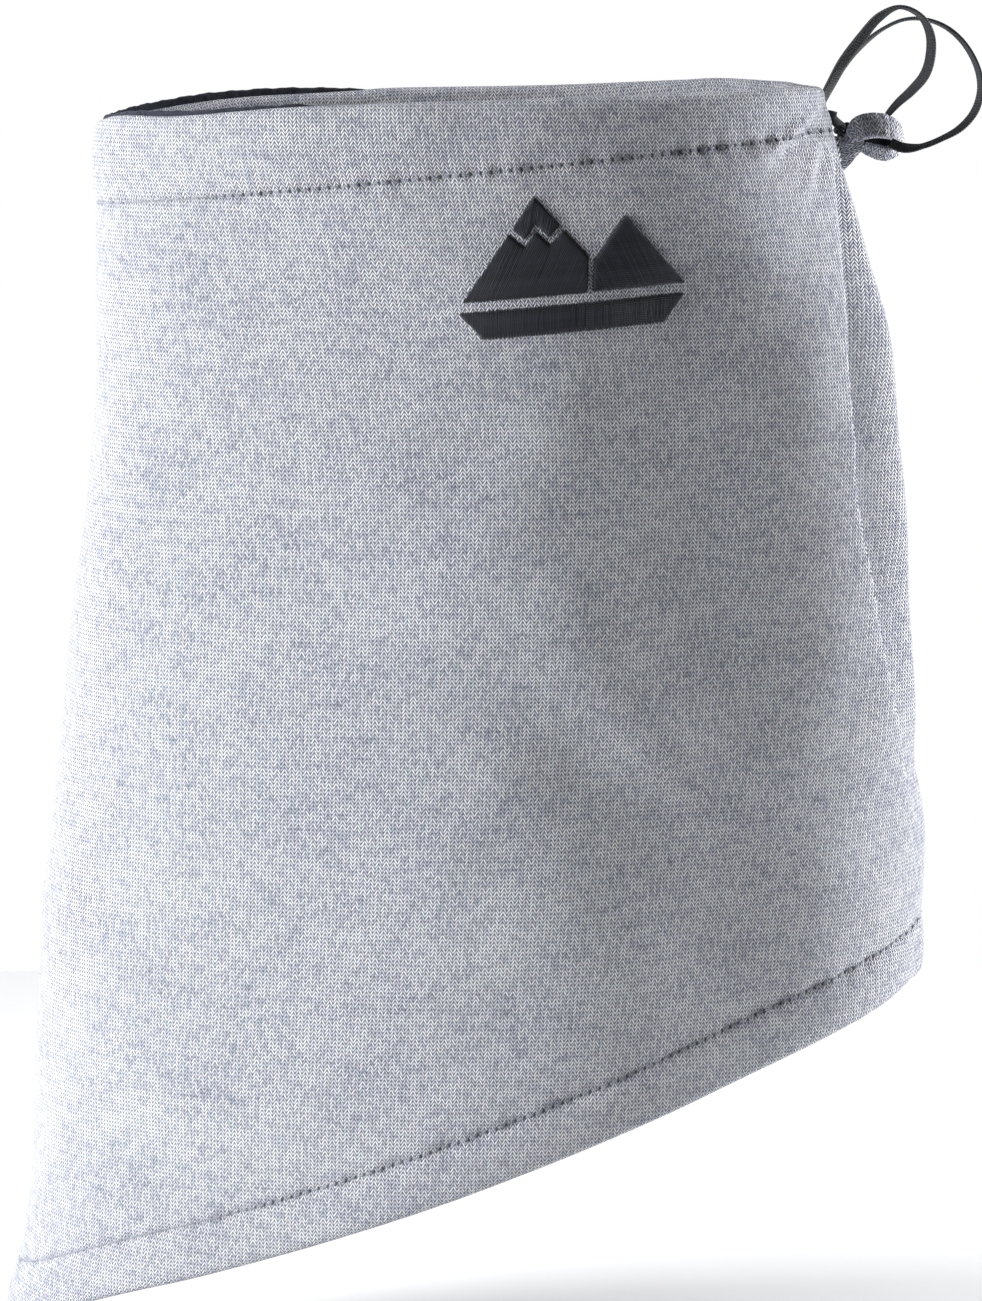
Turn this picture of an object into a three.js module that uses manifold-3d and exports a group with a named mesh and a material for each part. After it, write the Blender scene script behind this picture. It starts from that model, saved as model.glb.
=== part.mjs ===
// A reversible neck gaiter: a flared two-layer knit tube with a slanted hem, a casing
// round the neck opening that holds a flat elastic drawcord, and a sewn keeper at the back.
// Millimetres. +Z is up, +X points to the back of the neck, -X to the front of the chest.
// The origin is the centre of the neck opening.
import * as THREE from "three";
import { mergeVertices } from "three/addons/utils/BufferGeometryUtils.js";
import { TessellateModifier } from "three/addons/modifiers/TessellateModifier.js";
import Module from "manifold-3d";

// ---- Driving dimensions ----

// Outline of the tube as [height, value] points, from above the neck opening to below the hem.
const FRONT_LINE = [
  [20, -111], [-50, -111], [-100, -113.5], [-150, -119], [-200, -124.5],
  [-250, -130.5], [-300, -134], [-340, -137], [-390, -146],
];
const BACK_LINE = [
  [20, 108], [-10, 111], [-33, 117.5], [-70, 128.5], [-112, 137],
  [-160, 140.5], [-240, 143.5], [-290, 142], [-390, 142],
];
const HALF_DEPTH_LINE = [[20, 57], [-120, 66], [-280, 76], [-390, 78]];

// Heights at the middle of the tube, and how much each rises for each millimetre towards the back.
const RIM_HALF_LENGTH = 110;
const RIM_HEIGHT = 0.5;
const RIM_SLOPE = 0.03;
const CASING_SEAM_HEIGHT = -22.5;
const CASING_SEAM_SLOPE = 0.098;
const HEM_HALF_LENGTH = 144;
const HEM_MIDDLE = -2;
const HEM_HEIGHT = -323.5;
const HEM_SLOPE = 0.36;
const HEM_DEPTH = 18;
// The hem's front tip drops a little below the slanted line.
const TIP_DROP = 7;
const TIP_START = 100;
const TIP_LENGTH = 45;

const SHELL_THICKNESS = 1.2;
const LINING_INSET = 2.2;
const LINING_THICKNESS = 1.4;
const CASING_WIDTH = 7.2;
const FACING_INSET = 3.9;
const FACING_LAP = 3;
const HEM_WIDTH = 5.2;
const THREAD = 0.6;
const GAP = 0.35;

const CORD_WIDTH = 3.4;
const CORD_THICKNESS = 1;
const CORD_STEP = 3;
const CASING_CORD_DROP = 8;
const CASING_CORD_INSET = 2.6;
const CASING_CORD_END_GAP = 0.03;
const KNOT_END_WIDTH = 2.4;

// The stretch of rim across the front, in degrees, where the lining's edge stands out of it.
const LINING_EDGE = { from: 108, to: 252, least: 0.6, most: 2.6 };

const SIDES = 48;
const BODY_ROWS = 8;

// The cord's way out of the casing, beside the back seam.
const EXIT_ANGLE = THREE.MathUtils.degToRad(15);
const EXIT_HEIGHT = -3.5;
const EXIT_SLOT = { across: 3.4, deep: 3, tall: 5 };
const BUTTONHOLE = { inner: 0.5, outer: 1.4 };
const SEAM_ANGLE = THREE.MathUtils.degToRad(7.5);

const GREY = 0xb4b8c0;
const DARK_LINING = 0x2b2d33;
const BLACK_THREAD = 0x15161b;
const GREY_THREAD = 0x7f838c;

// ---- The tube's surface ----

// A smooth value at a height, through a list of [height, value] points that runs downwards.
function valueAt(line, height) {
  const last = line.length - 1;
  let i = 0;
  while (i < last - 1 && height < line[i + 1][0]) i += 1;
  const [h0, v0] = line[i];
  const [h1, v1] = line[i + 1];
  const span = h1 - h0;
  const before = line[Math.max(0, i - 1)];
  const after = line[Math.min(last, i + 2)];
  const slopeIn = ((v1 - before[1]) / (h1 - before[0])) * span;
  const slopeOut = ((after[1] - v0) / (after[0] - h0)) * span;
  const t = THREE.MathUtils.clamp((height - h0) / span, 0, 1);
  const rest = 1 - t;
  return (
    (1 + 2 * t) * rest * rest * v0 + t * rest * rest * slopeIn +
    t * t * (3 - 2 * t) * v1 - t * t * rest * slopeOut
  );
}

// The frame of the outer face at an angle (0 at the back, a quarter turn at the far side).
function wallFrame(angle, height) {
  const front = valueAt(FRONT_LINE, height);
  const back = valueAt(BACK_LINE, height);
  const halfDepth = valueAt(HALF_DEPTH_LINE, height);
  const half = (back - front) / 2;
  const outward = new THREE.Vector3(Math.cos(angle) / half, Math.sin(angle) / halfDepth, 0).normalize();
  const place = new THREE.Vector3(
    (front + back) / 2 + half * Math.cos(angle), halfDepth * Math.sin(angle), height,
  );
  return { place, outward };
}

function wallPoint(angle, height, inset) {
  const { place, outward } = wallFrame(angle, height);
  return place.addScaledVector(outward, -inset);
}

// The angle of the near wall at a distance along X.
function nearAngle(x, height) {
  const front = valueAt(FRONT_LINE, height);
  const back = valueAt(BACK_LINE, height);
  return -Math.acos((2 * x - front - back) / (back - front));
}

const rimX = (angle) => RIM_HALF_LENGTH * Math.cos(angle);
const rim = (angle) => RIM_HEIGHT + RIM_SLOPE * rimX(angle);
const casingSeam = (angle) => CASING_SEAM_HEIGHT + CASING_SEAM_SLOPE * rimX(angle);
const hem = (angle) => {
  const x = HEM_MIDDLE + HEM_HALF_LENGTH * Math.cos(angle);
  const tip = Math.max(0, (-x - TIP_START) / TIP_LENGTH);
  return HEM_HEIGHT + HEM_SLOPE * x - TIP_DROP * tip * tip;
};
const hemSeam = (angle) => hem(angle) + HEM_DEPTH;

// ---- Closed meshes ----

function meshFrom(points, faces) {
  const positions = new Float32Array(faces.length * 3);
  faces.forEach((corner, i) => points[corner].toArray(positions, i * 3));
  return new THREE.BufferGeometry().setAttribute("position", new THREE.BufferAttribute(positions, 3));
}

// A ring round the tube whose section is a closed list of stations: an inset and a height.
function ringFrom(stations) {
  const points = [];
  for (let side = 0; side < SIDES; side += 1) {
    const angle = (2 * Math.PI * side) / SIDES;
    for (const { inset, height } of stations) points.push(wallPoint(angle, height(angle), inset));
  }
  return meshFrom(points, gridFaces(SIDES, stations.length, true));
}

// The faces of a grid of sections, joined end to end or closed with a strip across each end.
function gridFaces(sections, corners, closed) {
  const faces = [];
  const at = (section, corner) => (section % sections) * corners + (corner % corners);
  for (let s = 0; s < (closed ? sections : sections - 1); s += 1) {
    for (let c = 0; c < corners; c += 1) {
      faces.push(at(s, c), at(s + 1, c), at(s + 1, c + 1));
      faces.push(at(s, c), at(s + 1, c + 1), at(s, c + 1));
    }
  }
  if (!closed) {
    const end = sections - 1;
    for (let c = 0; c < corners / 2 - 1; c += 1) {
      const across = corners - 1 - c;
      faces.push(at(0, c), at(0, c + 1), at(0, across), at(0, c + 1), at(0, across - 1), at(0, across));
      faces.push(at(end, c), at(end, across), at(end, c + 1));
      faces.push(at(end, c + 1), at(end, across), at(end, across - 1));
    }
  }
  return faces;
}

// A patch that follows the wall between two angles, from an outer inset to an inner one.
function wallPatch(angles, heights, outerInset, innerInset) {
  const points = [];
  for (const angle of angles) {
    for (const height of heights) points.push(wallPoint(angle, height, innerInset));
    for (const height of heights.toReversed()) points.push(wallPoint(angle, height, outerInset));
  }
  return solidSide(meshFrom(points, gridFaces(angles.length, 2 * heights.length, false)));
}

// Turns a mesh's faces outwards if they point inwards.
function solidSide(geometry) {
  const place = geometry.getAttribute("position");
  const [a, b, c] = [new THREE.Vector3(), new THREE.Vector3(), new THREE.Vector3()];
  let volume = 0;
  for (let i = 0; i < place.count; i += 3) {
    a.fromBufferAttribute(place, i);
    b.fromBufferAttribute(place, i + 1);
    c.fromBufferAttribute(place, i + 2);
    volume += a.dot(b.cross(c));
  }
  if (volume > 0) return geometry;
  for (let i = 0; i < place.count; i += 3) {
    b.fromBufferAttribute(place, i + 1);
    c.fromBufferAttribute(place, i + 2);
    place.setXYZ(i + 1, c.x, c.y, c.z);
    place.setXYZ(i + 2, b.x, b.y, b.z);
  }
  return geometry;
}

// An oval outline for a cord or a roll of fabric.
function oval(width, thickness, corners) {
  const outline = [];
  for (let i = 0; i < corners; i += 1) {
    const turn = (2 * Math.PI * i) / corners;
    outline.push(new THREE.Vector2((thickness / 2) * Math.cos(turn), (width / 2) * Math.sin(turn)));
  }
  return new THREE.Shape(outline);
}

function tube(route, outline, step) {
  const path = new THREE.CatmullRomCurve3(route, false, "centripetal");
  const steps = Math.max(4, Math.round(path.getLength() / step));
  return new THREE.ExtrudeGeometry(outline, { steps, extrudePath: path });
}

const vectors = (list) => list.map(([x, y, z]) => new THREE.Vector3(x, y, z));

// ---- Cutting ----

const wasm = await Module();
wasm.setup();

function toSolid(geometry) {
  const bare = geometry.index ? geometry.toNonIndexed() : geometry.clone();
  bare.deleteAttribute("normal");
  bare.deleteAttribute("uv");
  const merged = mergeVertices(bare, 1e-3);
  const triVerts = new Uint32Array(merged.index.array);
  const vertProperties = merged.attributes.position.array;
  return new wasm.Manifold(new wasm.Mesh({ numProp: 3, vertProperties, triVerts }));
}

function toGeometry(solid) {
  const { vertProperties, triVerts } = solid.getMesh();
  return new THREE.BufferGeometry()
    .setAttribute("position", new THREE.BufferAttribute(vertProperties, 3))
    .setIndex(new THREE.BufferAttribute(triVerts, 1));
}

// ---- Fabric ----

// Half a roll of fabric from one inset to another: up over the rim, or down under the hem.
function roll(fromInset, toInset, base, upwards, parts) {
  const radius = (toInset - fromInset) / 2;
  const middle = (fromInset + toInset) / 2;
  const stations = [];
  for (let i = 0; i <= parts; i += 1) {
    const turn = (Math.PI * i) / parts;
    const rise = (upwards ? 1 : -1) * Math.abs(radius) * Math.sin(turn);
    stations.push({ inset: middle - radius * Math.cos(turn), height: (angle) => base(angle) + rise });
  }
  return stations;
}

// Rows down a wall between two heights, the ends included.
function rows(inset, top, bottom, count) {
  const stations = [];
  for (let i = 0; i <= count; i += 1) {
    const share = i / count;
    stations.push({ inset, height: (angle) => top(angle) * (1 - share) + bottom(angle) * share });
  }
  return stations;
}

// One knit panel: down its outer face, up inside the hem, up the wall, over the rim and down as facing.
function outerShell() {
  const rollBase = (angle) => rim(angle) - CASING_WIDTH / 2;
  const hemBase = (angle) => hem(angle) + HEM_WIDTH / 2;
  const facingBend = (angle) => casingSeam(angle) + 5;
  const facingEdge = (angle) => casingSeam(angle) - FACING_LAP;
  const leafTop = (angle) => hemSeam(angle) + 2;
  const innerCasing = CASING_WIDTH - SHELL_THICKNESS;
  const innerHem = HEM_WIDTH - SHELL_THICKNESS;
  const facingFace = FACING_INSET + SHELL_THICKNESS;
  const stations = [
    ...rows(0, casingSeam, hemSeam, BODY_ROWS),
    ...roll(0, HEM_WIDTH, hemBase, false, 4),
    { inset: HEM_WIDTH, height: leafTop },
    { inset: innerHem, height: leafTop },
    ...roll(innerHem, SHELL_THICKNESS, hemBase, false, 2),
    ...rows(SHELL_THICKNESS, hemSeam, casingSeam, BODY_ROWS),
    ...roll(SHELL_THICKNESS, innerCasing, rollBase, true, 4),
    { inset: FACING_INSET, height: facingBend },
    { inset: FACING_INSET, height: facingEdge },
    { inset: facingFace, height: facingEdge },
    { inset: facingFace, height: facingBend },
    ...roll(CASING_WIDTH, 0, rollBase, true, 5),
  ];
  const { place, outward } = wallFrame(EXIT_ANGLE, EXIT_HEIGHT);
  const slot = new THREE.BoxGeometry(EXIT_SLOT.deep, EXIT_SLOT.across, EXIT_SLOT.tall);
  slot.rotateZ(Math.atan2(outward.y, outward.x));
  slot.translate(place.x, place.y, place.z);
  return toGeometry(toSolid(solidSide(ringFrom(stations))).subtract(toSolid(slot)));
}

function innerLining() {
  const top = (angle) => casingSeam(angle) + 4.5;
  const bottom = (angle) => hem(angle) + 5;
  const face = LINING_INSET + LINING_THICKNESS;
  return solidSide(ringFrom([
    { inset: LINING_INSET, height: top },
    ...rows(LINING_INSET, casingSeam, hemSeam, BODY_ROWS),
    { inset: LINING_INSET, height: bottom },
    { inset: face, height: bottom },
    ...rows(face, hemSeam, casingSeam, BODY_ROWS),
    { inset: face, height: top },
  ]));
}

// The dark upper edge of the lining, which stands out of the rim across the front of the neck.
function liningEdge() {
  const outer = (CASING_WIDTH - LINING_THICKNESS) / 2;
  const inner = (CASING_WIDTH + LINING_THICKNESS) / 2;
  const sections = 21;
  const points = [];
  for (let i = 0; i < sections; i += 1) {
    const share = i / (sections - 1);
    const angle = THREE.MathUtils.degToRad(LINING_EDGE.from + (LINING_EDGE.to - LINING_EDGE.from) * share);
    const low = rim(angle) + GAP;
    const high = low + LINING_EDGE.least + (LINING_EDGE.most - LINING_EDGE.least) * Math.sin(Math.PI * share);
    points.push(
      wallPoint(angle, low, outer), wallPoint(angle, low, inner),
      wallPoint(angle, high, inner), wallPoint(angle, high, outer),
    );
  }
  return solidSide(meshFrom(points, gridFaces(sections, 4, false)));
}

// A round of stitching, as one ring of thread on a face of the fabric.
function stitchRing(inset, seam) {
  const low = (angle) => seam(angle) - THREAD / 2;
  const high = (angle) => seam(angle) + THREAD / 2;
  return solidSide(ringFrom([
    { inset, height: low },
    { inset: inset + THREAD, height: low },
    { inset: inset + THREAD, height: high },
    { inset, height: high },
  ]));
}

// A seam's thread down the back of the tube, from the first row below the casing to the hem's stitching.
function backSeam(inset, aboveHem) {
  const halfAngle = 0.02;
  const all = rows(inset, casingSeam, hemSeam, BODY_ROWS).map(({ height }) => height(SEAM_ANGLE));
  const heights = [...all.slice(1, -1), hemSeam(SEAM_ANGLE) + aboveHem];
  const angles = [SEAM_ANGLE - halfAngle, SEAM_ANGLE, SEAM_ANGLE + halfAngle];
  return wallPatch(angles, heights, inset, inset + THREAD);
}

// ---- Embroidery ----

// A plain range of two peaks over a bar, as outlines about the emblem's centre.
const EMBLEM_CENTRE = { x: 32, height: -48, turn: THREE.MathUtils.degToRad(4.5) };
const EMBLEM_RAISED = 0.8;
const EMBLEM_FINENESS = 7;
const BACKING = { firstSide: 36, lastSide: 41, heights: [-24, -48, -72], clearance: 0.3 };
const EMBLEM_OUTLINES = {
  emblem_snow_cap: [[-9, 20], [-16.1, 11], [-12.5, 8], [-9, 12], [-5.5, 8], [-1.9, 11]],
  emblem_tall_peak: [
    [-17.2, 9.6], [-32, -9], [4.5, -9], [5.7, 1.4], [-0.8, 9.6], [-5.3, 5.6], [-9, 9.8], [-12.7, 5.6],
  ],
  emblem_short_peak: [[17, 12.5], [7.2, 0.2], [6, -9], [34, -9]],
  emblem_base_bar: [[-33.5, -12], [-27, -20], [27.5, -20], [34, -12]],
};

function embroidered(outline) {
  const flat = new THREE.ExtrudeGeometry(
    new THREE.Shape(outline.map(([x, y]) => new THREE.Vector2(x, y))),
    { depth: EMBLEM_RAISED, bevelEnabled: false },
  );
  flat.rotateZ(EMBLEM_CENTRE.turn);
  const fine = new TessellateModifier(EMBLEM_FINENESS, 8).modify(flat);
  const place = fine.getAttribute("position");
  for (let i = 0; i < place.count; i += 1) {
    const height = EMBLEM_CENTRE.height + place.getY(i);
    const angle = nearAngle(EMBLEM_CENTRE.x + place.getX(i), height);
    const { x, y, z } = wallPoint(angle, height, -GAP - place.getZ(i));
    place.setXYZ(i, x, y, z);
  }
  return solidSide(fine);
}

// The soft patch behind the embroidery, between the shell and the lining.
function emblemBacking() {
  const angles = [];
  for (let side = BACKING.firstSide; side <= BACKING.lastSide; side += 1) {
    angles.push((2 * Math.PI * side) / SIDES);
  }
  const outer = SHELL_THICKNESS + BACKING.clearance;
  return wallPatch(angles, BACKING.heights, outer, LINING_INSET - BACKING.clearance);
}

// ---- Drawcord and keeper ----

const cordOutline = () => oval(CORD_WIDTH, CORD_THICKNESS, 8);

// The stretch inside the casing, from one side of the exit right round to the other.
function casingCord() {
  const start = EXIT_ANGLE + CASING_CORD_END_GAP;
  const end = EXIT_ANGLE + 2 * Math.PI - CASING_CORD_END_GAP;
  const inset = CASING_CORD_INSET;
  const half = CORD_WIDTH / 2;
  const sections = 49;
  const points = [];
  for (let i = 0; i < sections; i += 1) {
    const angle = start + ((end - start) * i) / (sections - 1);
    const height = rim(angle) - CASING_CORD_DROP;
    points.push(
      wallPoint(angle, height - half, inset), wallPoint(angle, height - half, inset + CORD_THICKNESS),
      wallPoint(angle, height + half, inset + CORD_THICKNESS), wallPoint(angle, height + half, inset),
    );
  }
  return solidSide(meshFrom(points, gridFaces(sections, 4, false)));
}

// The two free strands, each from the exit round its loop into the keeper's eye.
const INNER_STRAND = vectors([
  [110.5, 15.2, -3.2], [113, 14.5, 1.5], [116.7, 11, 8.7], [121.8, 7.5, 15.9], [127.1, 5.5, 22.2],
  [133.2, 5, 25.2], [139.3, 6, 22.8], [142.7, 8, 17.7], [143.4, 10.5, 10.8], [142, 13, 4.7],
  [138.1, 15.8, -0.4], [134, 18, -4.4], [130.8, 18.6, -8.6], [129.6, 17.6, -12.8],
]);
const OUTER_STRAND = vectors([
  [110.4, 17, -5], [113.6, 17.4, 1], [118.1, 17, 8.5], [123.9, 16, 14.5], [129.6, 15, 18.8],
  [135.7, 14, 21.4], [141.8, 13, 21.4], [148, 12, 19.1], [153.3, 11, 14.5], [157.4, 10, 7.5],
  [158.7, 9, 0.6], [157, 8, -6.1], [152.5, 6.5, -11.3], [146.4, 4.8, -14.6], [140.3, 3.4, -16.8],
  [134.8, 2.6, -17.2], [130.8, 3.2, -15.8],
]);
// The tied ends: out of the keeper's eye, behind its upper arm, to the knot and the cut tail.
const TIED_ENDS = vectors([[126.5, 16.6, -14.6], [123.5, 17.4, -13.8], [120.6, 16.4, -12.8]]);
const CORD_TAIL = vectors([[115.6, 14, -9.2], [114.6, 13.6, -7.8], [113.9, 13.2, -6], [113.6, 13, -4.4]]);
const KNOT = { centre: [117.4, 14.2, -12.2], radius: 2.9 };

function knot() {
  const ball = new THREE.IcosahedronGeometry(KNOT.radius, 1);
  ball.scale(1, 1, 0.85);
  ball.translate(...KNOT.centre);
  return ball;
}

const KEEPER_WIDTH = 9;
const KEEPER_Y = 10;
const KEEPER_LOOP = { x: 127.6, height: -14.1, halfLength: 7.6, halfHeight: 7.4 };
const KEEPER_EYE = { x: 128.4, height: -14.6, halfLength: 3.2, halfHeight: 1.9 };
// The web's outline as [x, height] points, clear of the patch and of the loop.
const KEEPER_WEB = [[119, -24], [122, -20], [120.8, -19], [119.7, -16.9], [119.3, -14.6], [117.6, -15.2]];
const KEEPER_WEB_THICKNESS = 2.4;
const KEEPER_PATCH = { angles: [0.05, SEAM_ANGLE, 0.21], heights: [-15, -19.5, -24], thickness: 1.4 };
const BARTACK = { angles: [0.07, SEAM_ANGLE, 0.19], halfHeight: 0.6, low: 1.75, high: 2.3 };
const BARTACK_HEIGHTS = { upper: -16.5, lower: -22.5 };

// The keeper's loop of folded jersey tape, with an eye through it for the cord.
function keeperLoop() {
  const outline = new THREE.Shape();
  const { x, height, halfLength, halfHeight } = KEEPER_LOOP;
  outline.absellipse(x, height, halfLength, halfHeight, 0, 2 * Math.PI, false, 0);
  const eye = new THREE.Path();
  eye.absellipse(
    KEEPER_EYE.x, KEEPER_EYE.height, KEEPER_EYE.halfLength, KEEPER_EYE.halfHeight, 0, 2 * Math.PI, true, 0,
  );
  outline.holes.push(eye);
  return acrossY(outline, KEEPER_WIDTH, KEEPER_Y, 10);
}

// The web of tape between the sewn patch and the loop.
function keeperWeb() {
  const outline = new THREE.Shape(KEEPER_WEB.map(([x, height]) => new THREE.Vector2(x, height)));
  return acrossY(outline, KEEPER_WEB_THICKNESS, KEEPER_Y, 4);
}

// An outline drawn in X and Z, given a thickness along Y.
function acrossY(outline, thickness, y, curveSegments) {
  const block = new THREE.ExtrudeGeometry(outline, { depth: thickness, bevelEnabled: false, curveSegments });
  block.rotateX(Math.PI / 2);
  block.translate(0, y + thickness / 2, 0);
  return block;
}

// The end of the tape, sewn flat on the back of the shell.
function keeperPatch() {
  const { angles, heights, thickness } = KEEPER_PATCH;
  return wallPatch(angles, heights, -GAP - thickness, -GAP);
}

// A short bar of thread across the sewn patch.
function bartack(height) {
  const heights = [height + BARTACK.halfHeight, height - BARTACK.halfHeight];
  return wallPatch(BARTACK.angles, heights, -GAP - BARTACK.high, -GAP - BARTACK.low);
}

// The stitched edge of the cord's way out of the casing.
function exitButtonhole() {
  const { place, outward } = wallFrame(EXIT_ANGLE, EXIT_HEIGHT);
  const rimShape = new THREE.Shape();
  const halfAcross = EXIT_SLOT.across / 2;
  const halfTall = EXIT_SLOT.tall / 2;
  const { inner, outer } = BUTTONHOLE;
  rimShape.absellipse(0, 0, halfAcross + outer, halfTall + outer, 0, 2 * Math.PI, false, 0);
  const hole = new THREE.Path();
  hole.absellipse(0, 0, halfAcross + inner, halfTall + inner, 0, 2 * Math.PI, true, 0);
  rimShape.holes.push(hole);
  const ring = new THREE.ExtrudeGeometry(rimShape, { depth: THREAD, bevelEnabled: false, curveSegments: 8 });
  ring.rotateX(Math.PI / 2);
  ring.rotateZ(Math.atan2(outward.y, outward.x) + Math.PI / 2);
  const stand = place.addScaledVector(outward, GAP + THREAD);
  ring.translate(stand.x, stand.y, stand.z);
  return ring;
}

const LABEL = { degrees: [15, 22.5, 30], heights: [-150, -185], thickness: 0.6 };

// A blank woven label on the lining beside the back seam.
function careLabel() {
  const inset = LINING_INSET + LINING_THICKNESS + GAP;
  const angles = LABEL.degrees.map((degrees) => THREE.MathUtils.degToRad(degrees));
  return wallPatch(angles, LABEL.heights, inset, inset + LABEL.thickness);
}

// ---- The assembly ----

const gaiter = new THREE.Group();

function add(name, geometry, color, roughness = 0.95) {
  const finish = new THREE.MeshStandardMaterial({ color, roughness, metalness: 0 });
  const mesh = new THREE.Mesh(geometry, finish);
  mesh.name = name;
  gaiter.add(mesh);
}

add("outer_shell", outerShell(), GREY);
add("inner_lining", innerLining(), DARK_LINING);
add("lining_edge", liningEdge(), DARK_LINING);
add("casing_topstitch", stitchRing(-GAP - THREAD, casingSeam), GREY_THREAD);
add("casing_bobbin_thread", stitchRing(FACING_INSET + SHELL_THICKNESS + GAP, casingSeam), GREY_THREAD);
add("hem_topstitch", stitchRing(-GAP - THREAD, hemSeam), GREY_THREAD);
add("hem_bobbin_thread", stitchRing(HEM_WIDTH + GAP, hemSeam), GREY_THREAD);
add("shell_back_seam", backSeam(-GAP - THREAD, 1.5), GREY_THREAD);
add("lining_back_seam", backSeam(LINING_INSET + LINING_THICKNESS + GAP, 4), BLACK_THREAD);
add("emblem_backing", emblemBacking(), GREY_THREAD);
for (const [name, outline] of Object.entries(EMBLEM_OUTLINES)) {
  add(name, embroidered(outline), BLACK_THREAD, 0.6);
}
add("drawcord_in_casing", casingCord(), BLACK_THREAD, 0.8);
add("drawcord_inner_strand", tube(INNER_STRAND, cordOutline(), CORD_STEP), BLACK_THREAD, 0.8);
add("drawcord_outer_strand", tube(OUTER_STRAND, cordOutline(), CORD_STEP), BLACK_THREAD, 0.8);
add("drawcord_tied_ends", tube(TIED_ENDS, oval(KNOT_END_WIDTH, 2, 8), CORD_STEP), BLACK_THREAD, 0.8);
add("drawcord_knot", knot(), BLACK_THREAD, 0.8);
add("drawcord_tail", tube(CORD_TAIL, oval(KNOT_END_WIDTH, CORD_THICKNESS, 8), CORD_STEP), BLACK_THREAD, 0.8);
add("keeper_patch", keeperPatch(), GREY);
add("keeper_web", keeperWeb(), GREY);
add("keeper_loop", keeperLoop(), GREY);
add("keeper_upper_bartack", bartack(BARTACK_HEIGHTS.upper), GREY_THREAD);
add("keeper_lower_bartack", bartack(BARTACK_HEIGHTS.lower), GREY_THREAD);
add("cord_exit_buttonhole", exitButtonhole(), GREY_THREAD);
add("care_label", careLabel(), 0xd8d8d4);

export default gaiter;
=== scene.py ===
"""Neck gaiter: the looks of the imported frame, in Blender 4.5.

A flared two-layer knit tube with a slanted hem, a drawcord casing round the neck opening,
an embroidered emblem, and a sewn tape keeper that holds a flat elastic drawcord at the back.
Dimensions are millimetres in the frame's own axes: +Z up, +X to the back of the neck, and the
near side is -Y. They become metres where a mesh is made.
"""

import math

import bmesh
import bpy
import numpy as np
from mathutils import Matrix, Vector


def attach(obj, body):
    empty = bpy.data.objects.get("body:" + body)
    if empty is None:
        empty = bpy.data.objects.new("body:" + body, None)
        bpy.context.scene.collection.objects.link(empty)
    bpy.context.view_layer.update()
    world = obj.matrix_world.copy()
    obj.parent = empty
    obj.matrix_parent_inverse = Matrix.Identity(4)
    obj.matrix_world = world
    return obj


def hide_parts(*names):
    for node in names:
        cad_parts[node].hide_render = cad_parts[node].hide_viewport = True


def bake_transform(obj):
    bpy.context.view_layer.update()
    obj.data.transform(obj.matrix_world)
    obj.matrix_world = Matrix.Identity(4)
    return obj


MM = 0.001

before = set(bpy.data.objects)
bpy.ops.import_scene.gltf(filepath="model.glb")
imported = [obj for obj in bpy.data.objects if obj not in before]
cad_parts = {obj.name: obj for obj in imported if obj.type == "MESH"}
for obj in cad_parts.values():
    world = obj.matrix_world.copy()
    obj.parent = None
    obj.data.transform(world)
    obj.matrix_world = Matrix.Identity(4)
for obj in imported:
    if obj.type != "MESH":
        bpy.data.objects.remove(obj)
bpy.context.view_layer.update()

# ---- Dimensions shared with the CAD ----

FRONT_LINE = [
    (20, -111), (-50, -111), (-100, -113.5), (-150, -119), (-200, -124.5),
    (-250, -130.5), (-300, -134), (-340, -137), (-390, -146),
]
BACK_LINE = [
    (20, 108), (-10, 111), (-33, 117.5), (-70, 128.5), (-112, 137),
    (-160, 140.5), (-240, 143.5), (-290, 142), (-390, 142),
]
HALF_DEPTH_LINE = [(20, 57), (-120, 66), (-280, 76), (-390, 78)]

SHELL_THICKNESS = 1.2
LINING_INSET = 2.2
LINING_THICKNESS = 1.4
CASING_WIDTH = 7.2
FACING_INSET = 3.9
FACING_LAP = 3
HEM_WIDTH = 5.2
HEM_DEPTH = 18
CASING_CORD_DROP = 8
CORD_WIDTH = 3.4
CORD_THICKNESS = 1
SEAM_ANGLE = math.radians(7.5)
EXIT_ANGLE = math.radians(15)
EXIT_HEIGHT = -3.5
RIM_HALF_LENGTH = 110
CASING_SEAM_HEIGHT = -22.5
CASING_SEAM_SLOPE = 0.098
HEM_HEIGHT = -323.5
HEM_SLOPE = 0.36

# ---- Dimensions of the finished cloth ----

COLUMNS = 420
WALE = 2.32
COURSE = 1.2
STITCH_PITCH = 3.0
THREAD_RADIUS = 0.27
# Turns of the ply in a metre of thread.
THREAD_TURNS = 1500

# The top of the rolled rim as (x, height), on the near and on the far side.
NEAR_RIDGE = [(-111, -9), (-105, -6.8), (-85, -6.4), (-46, -3.1), (29, -0.5), (80, 1.0), (104, 1.8),
              (112, 0.9)]
FAR_RIDGE = [(-111, -9), (-104, -7.4), (-98, -6.3), (-83, -4.2), (-70, -3.0), (-59, -2.4), (-45, -1.8),
             (-30, -0.9), (-20, -0.4), (30, 0.5), (71, 2.4), (81, 3.0), (99, 2.4), (106, 1.9), (112, 0.9)]
# The top of the lining's dark edge across the front, on the near and on the far side.
NEAR_LINING_TOP = [(-112, -7.6), (-103, -5.6), (-94, -5.0), (-80, -4.6), (-66, -3.4), (-54, -2.7),
                   (-46, -2.4), (-40, -3.6), (-34, -6)]
FAR_LINING_TOP = [(-112, -7.4), (-104, -5.2), (-98, -4.1), (-83, -1.8), (-70, -0.8), (-59, -0.3),
                  (-46, -0.3), (-34, -0.7), (-24, -2.4), (-14, -6)]

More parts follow.
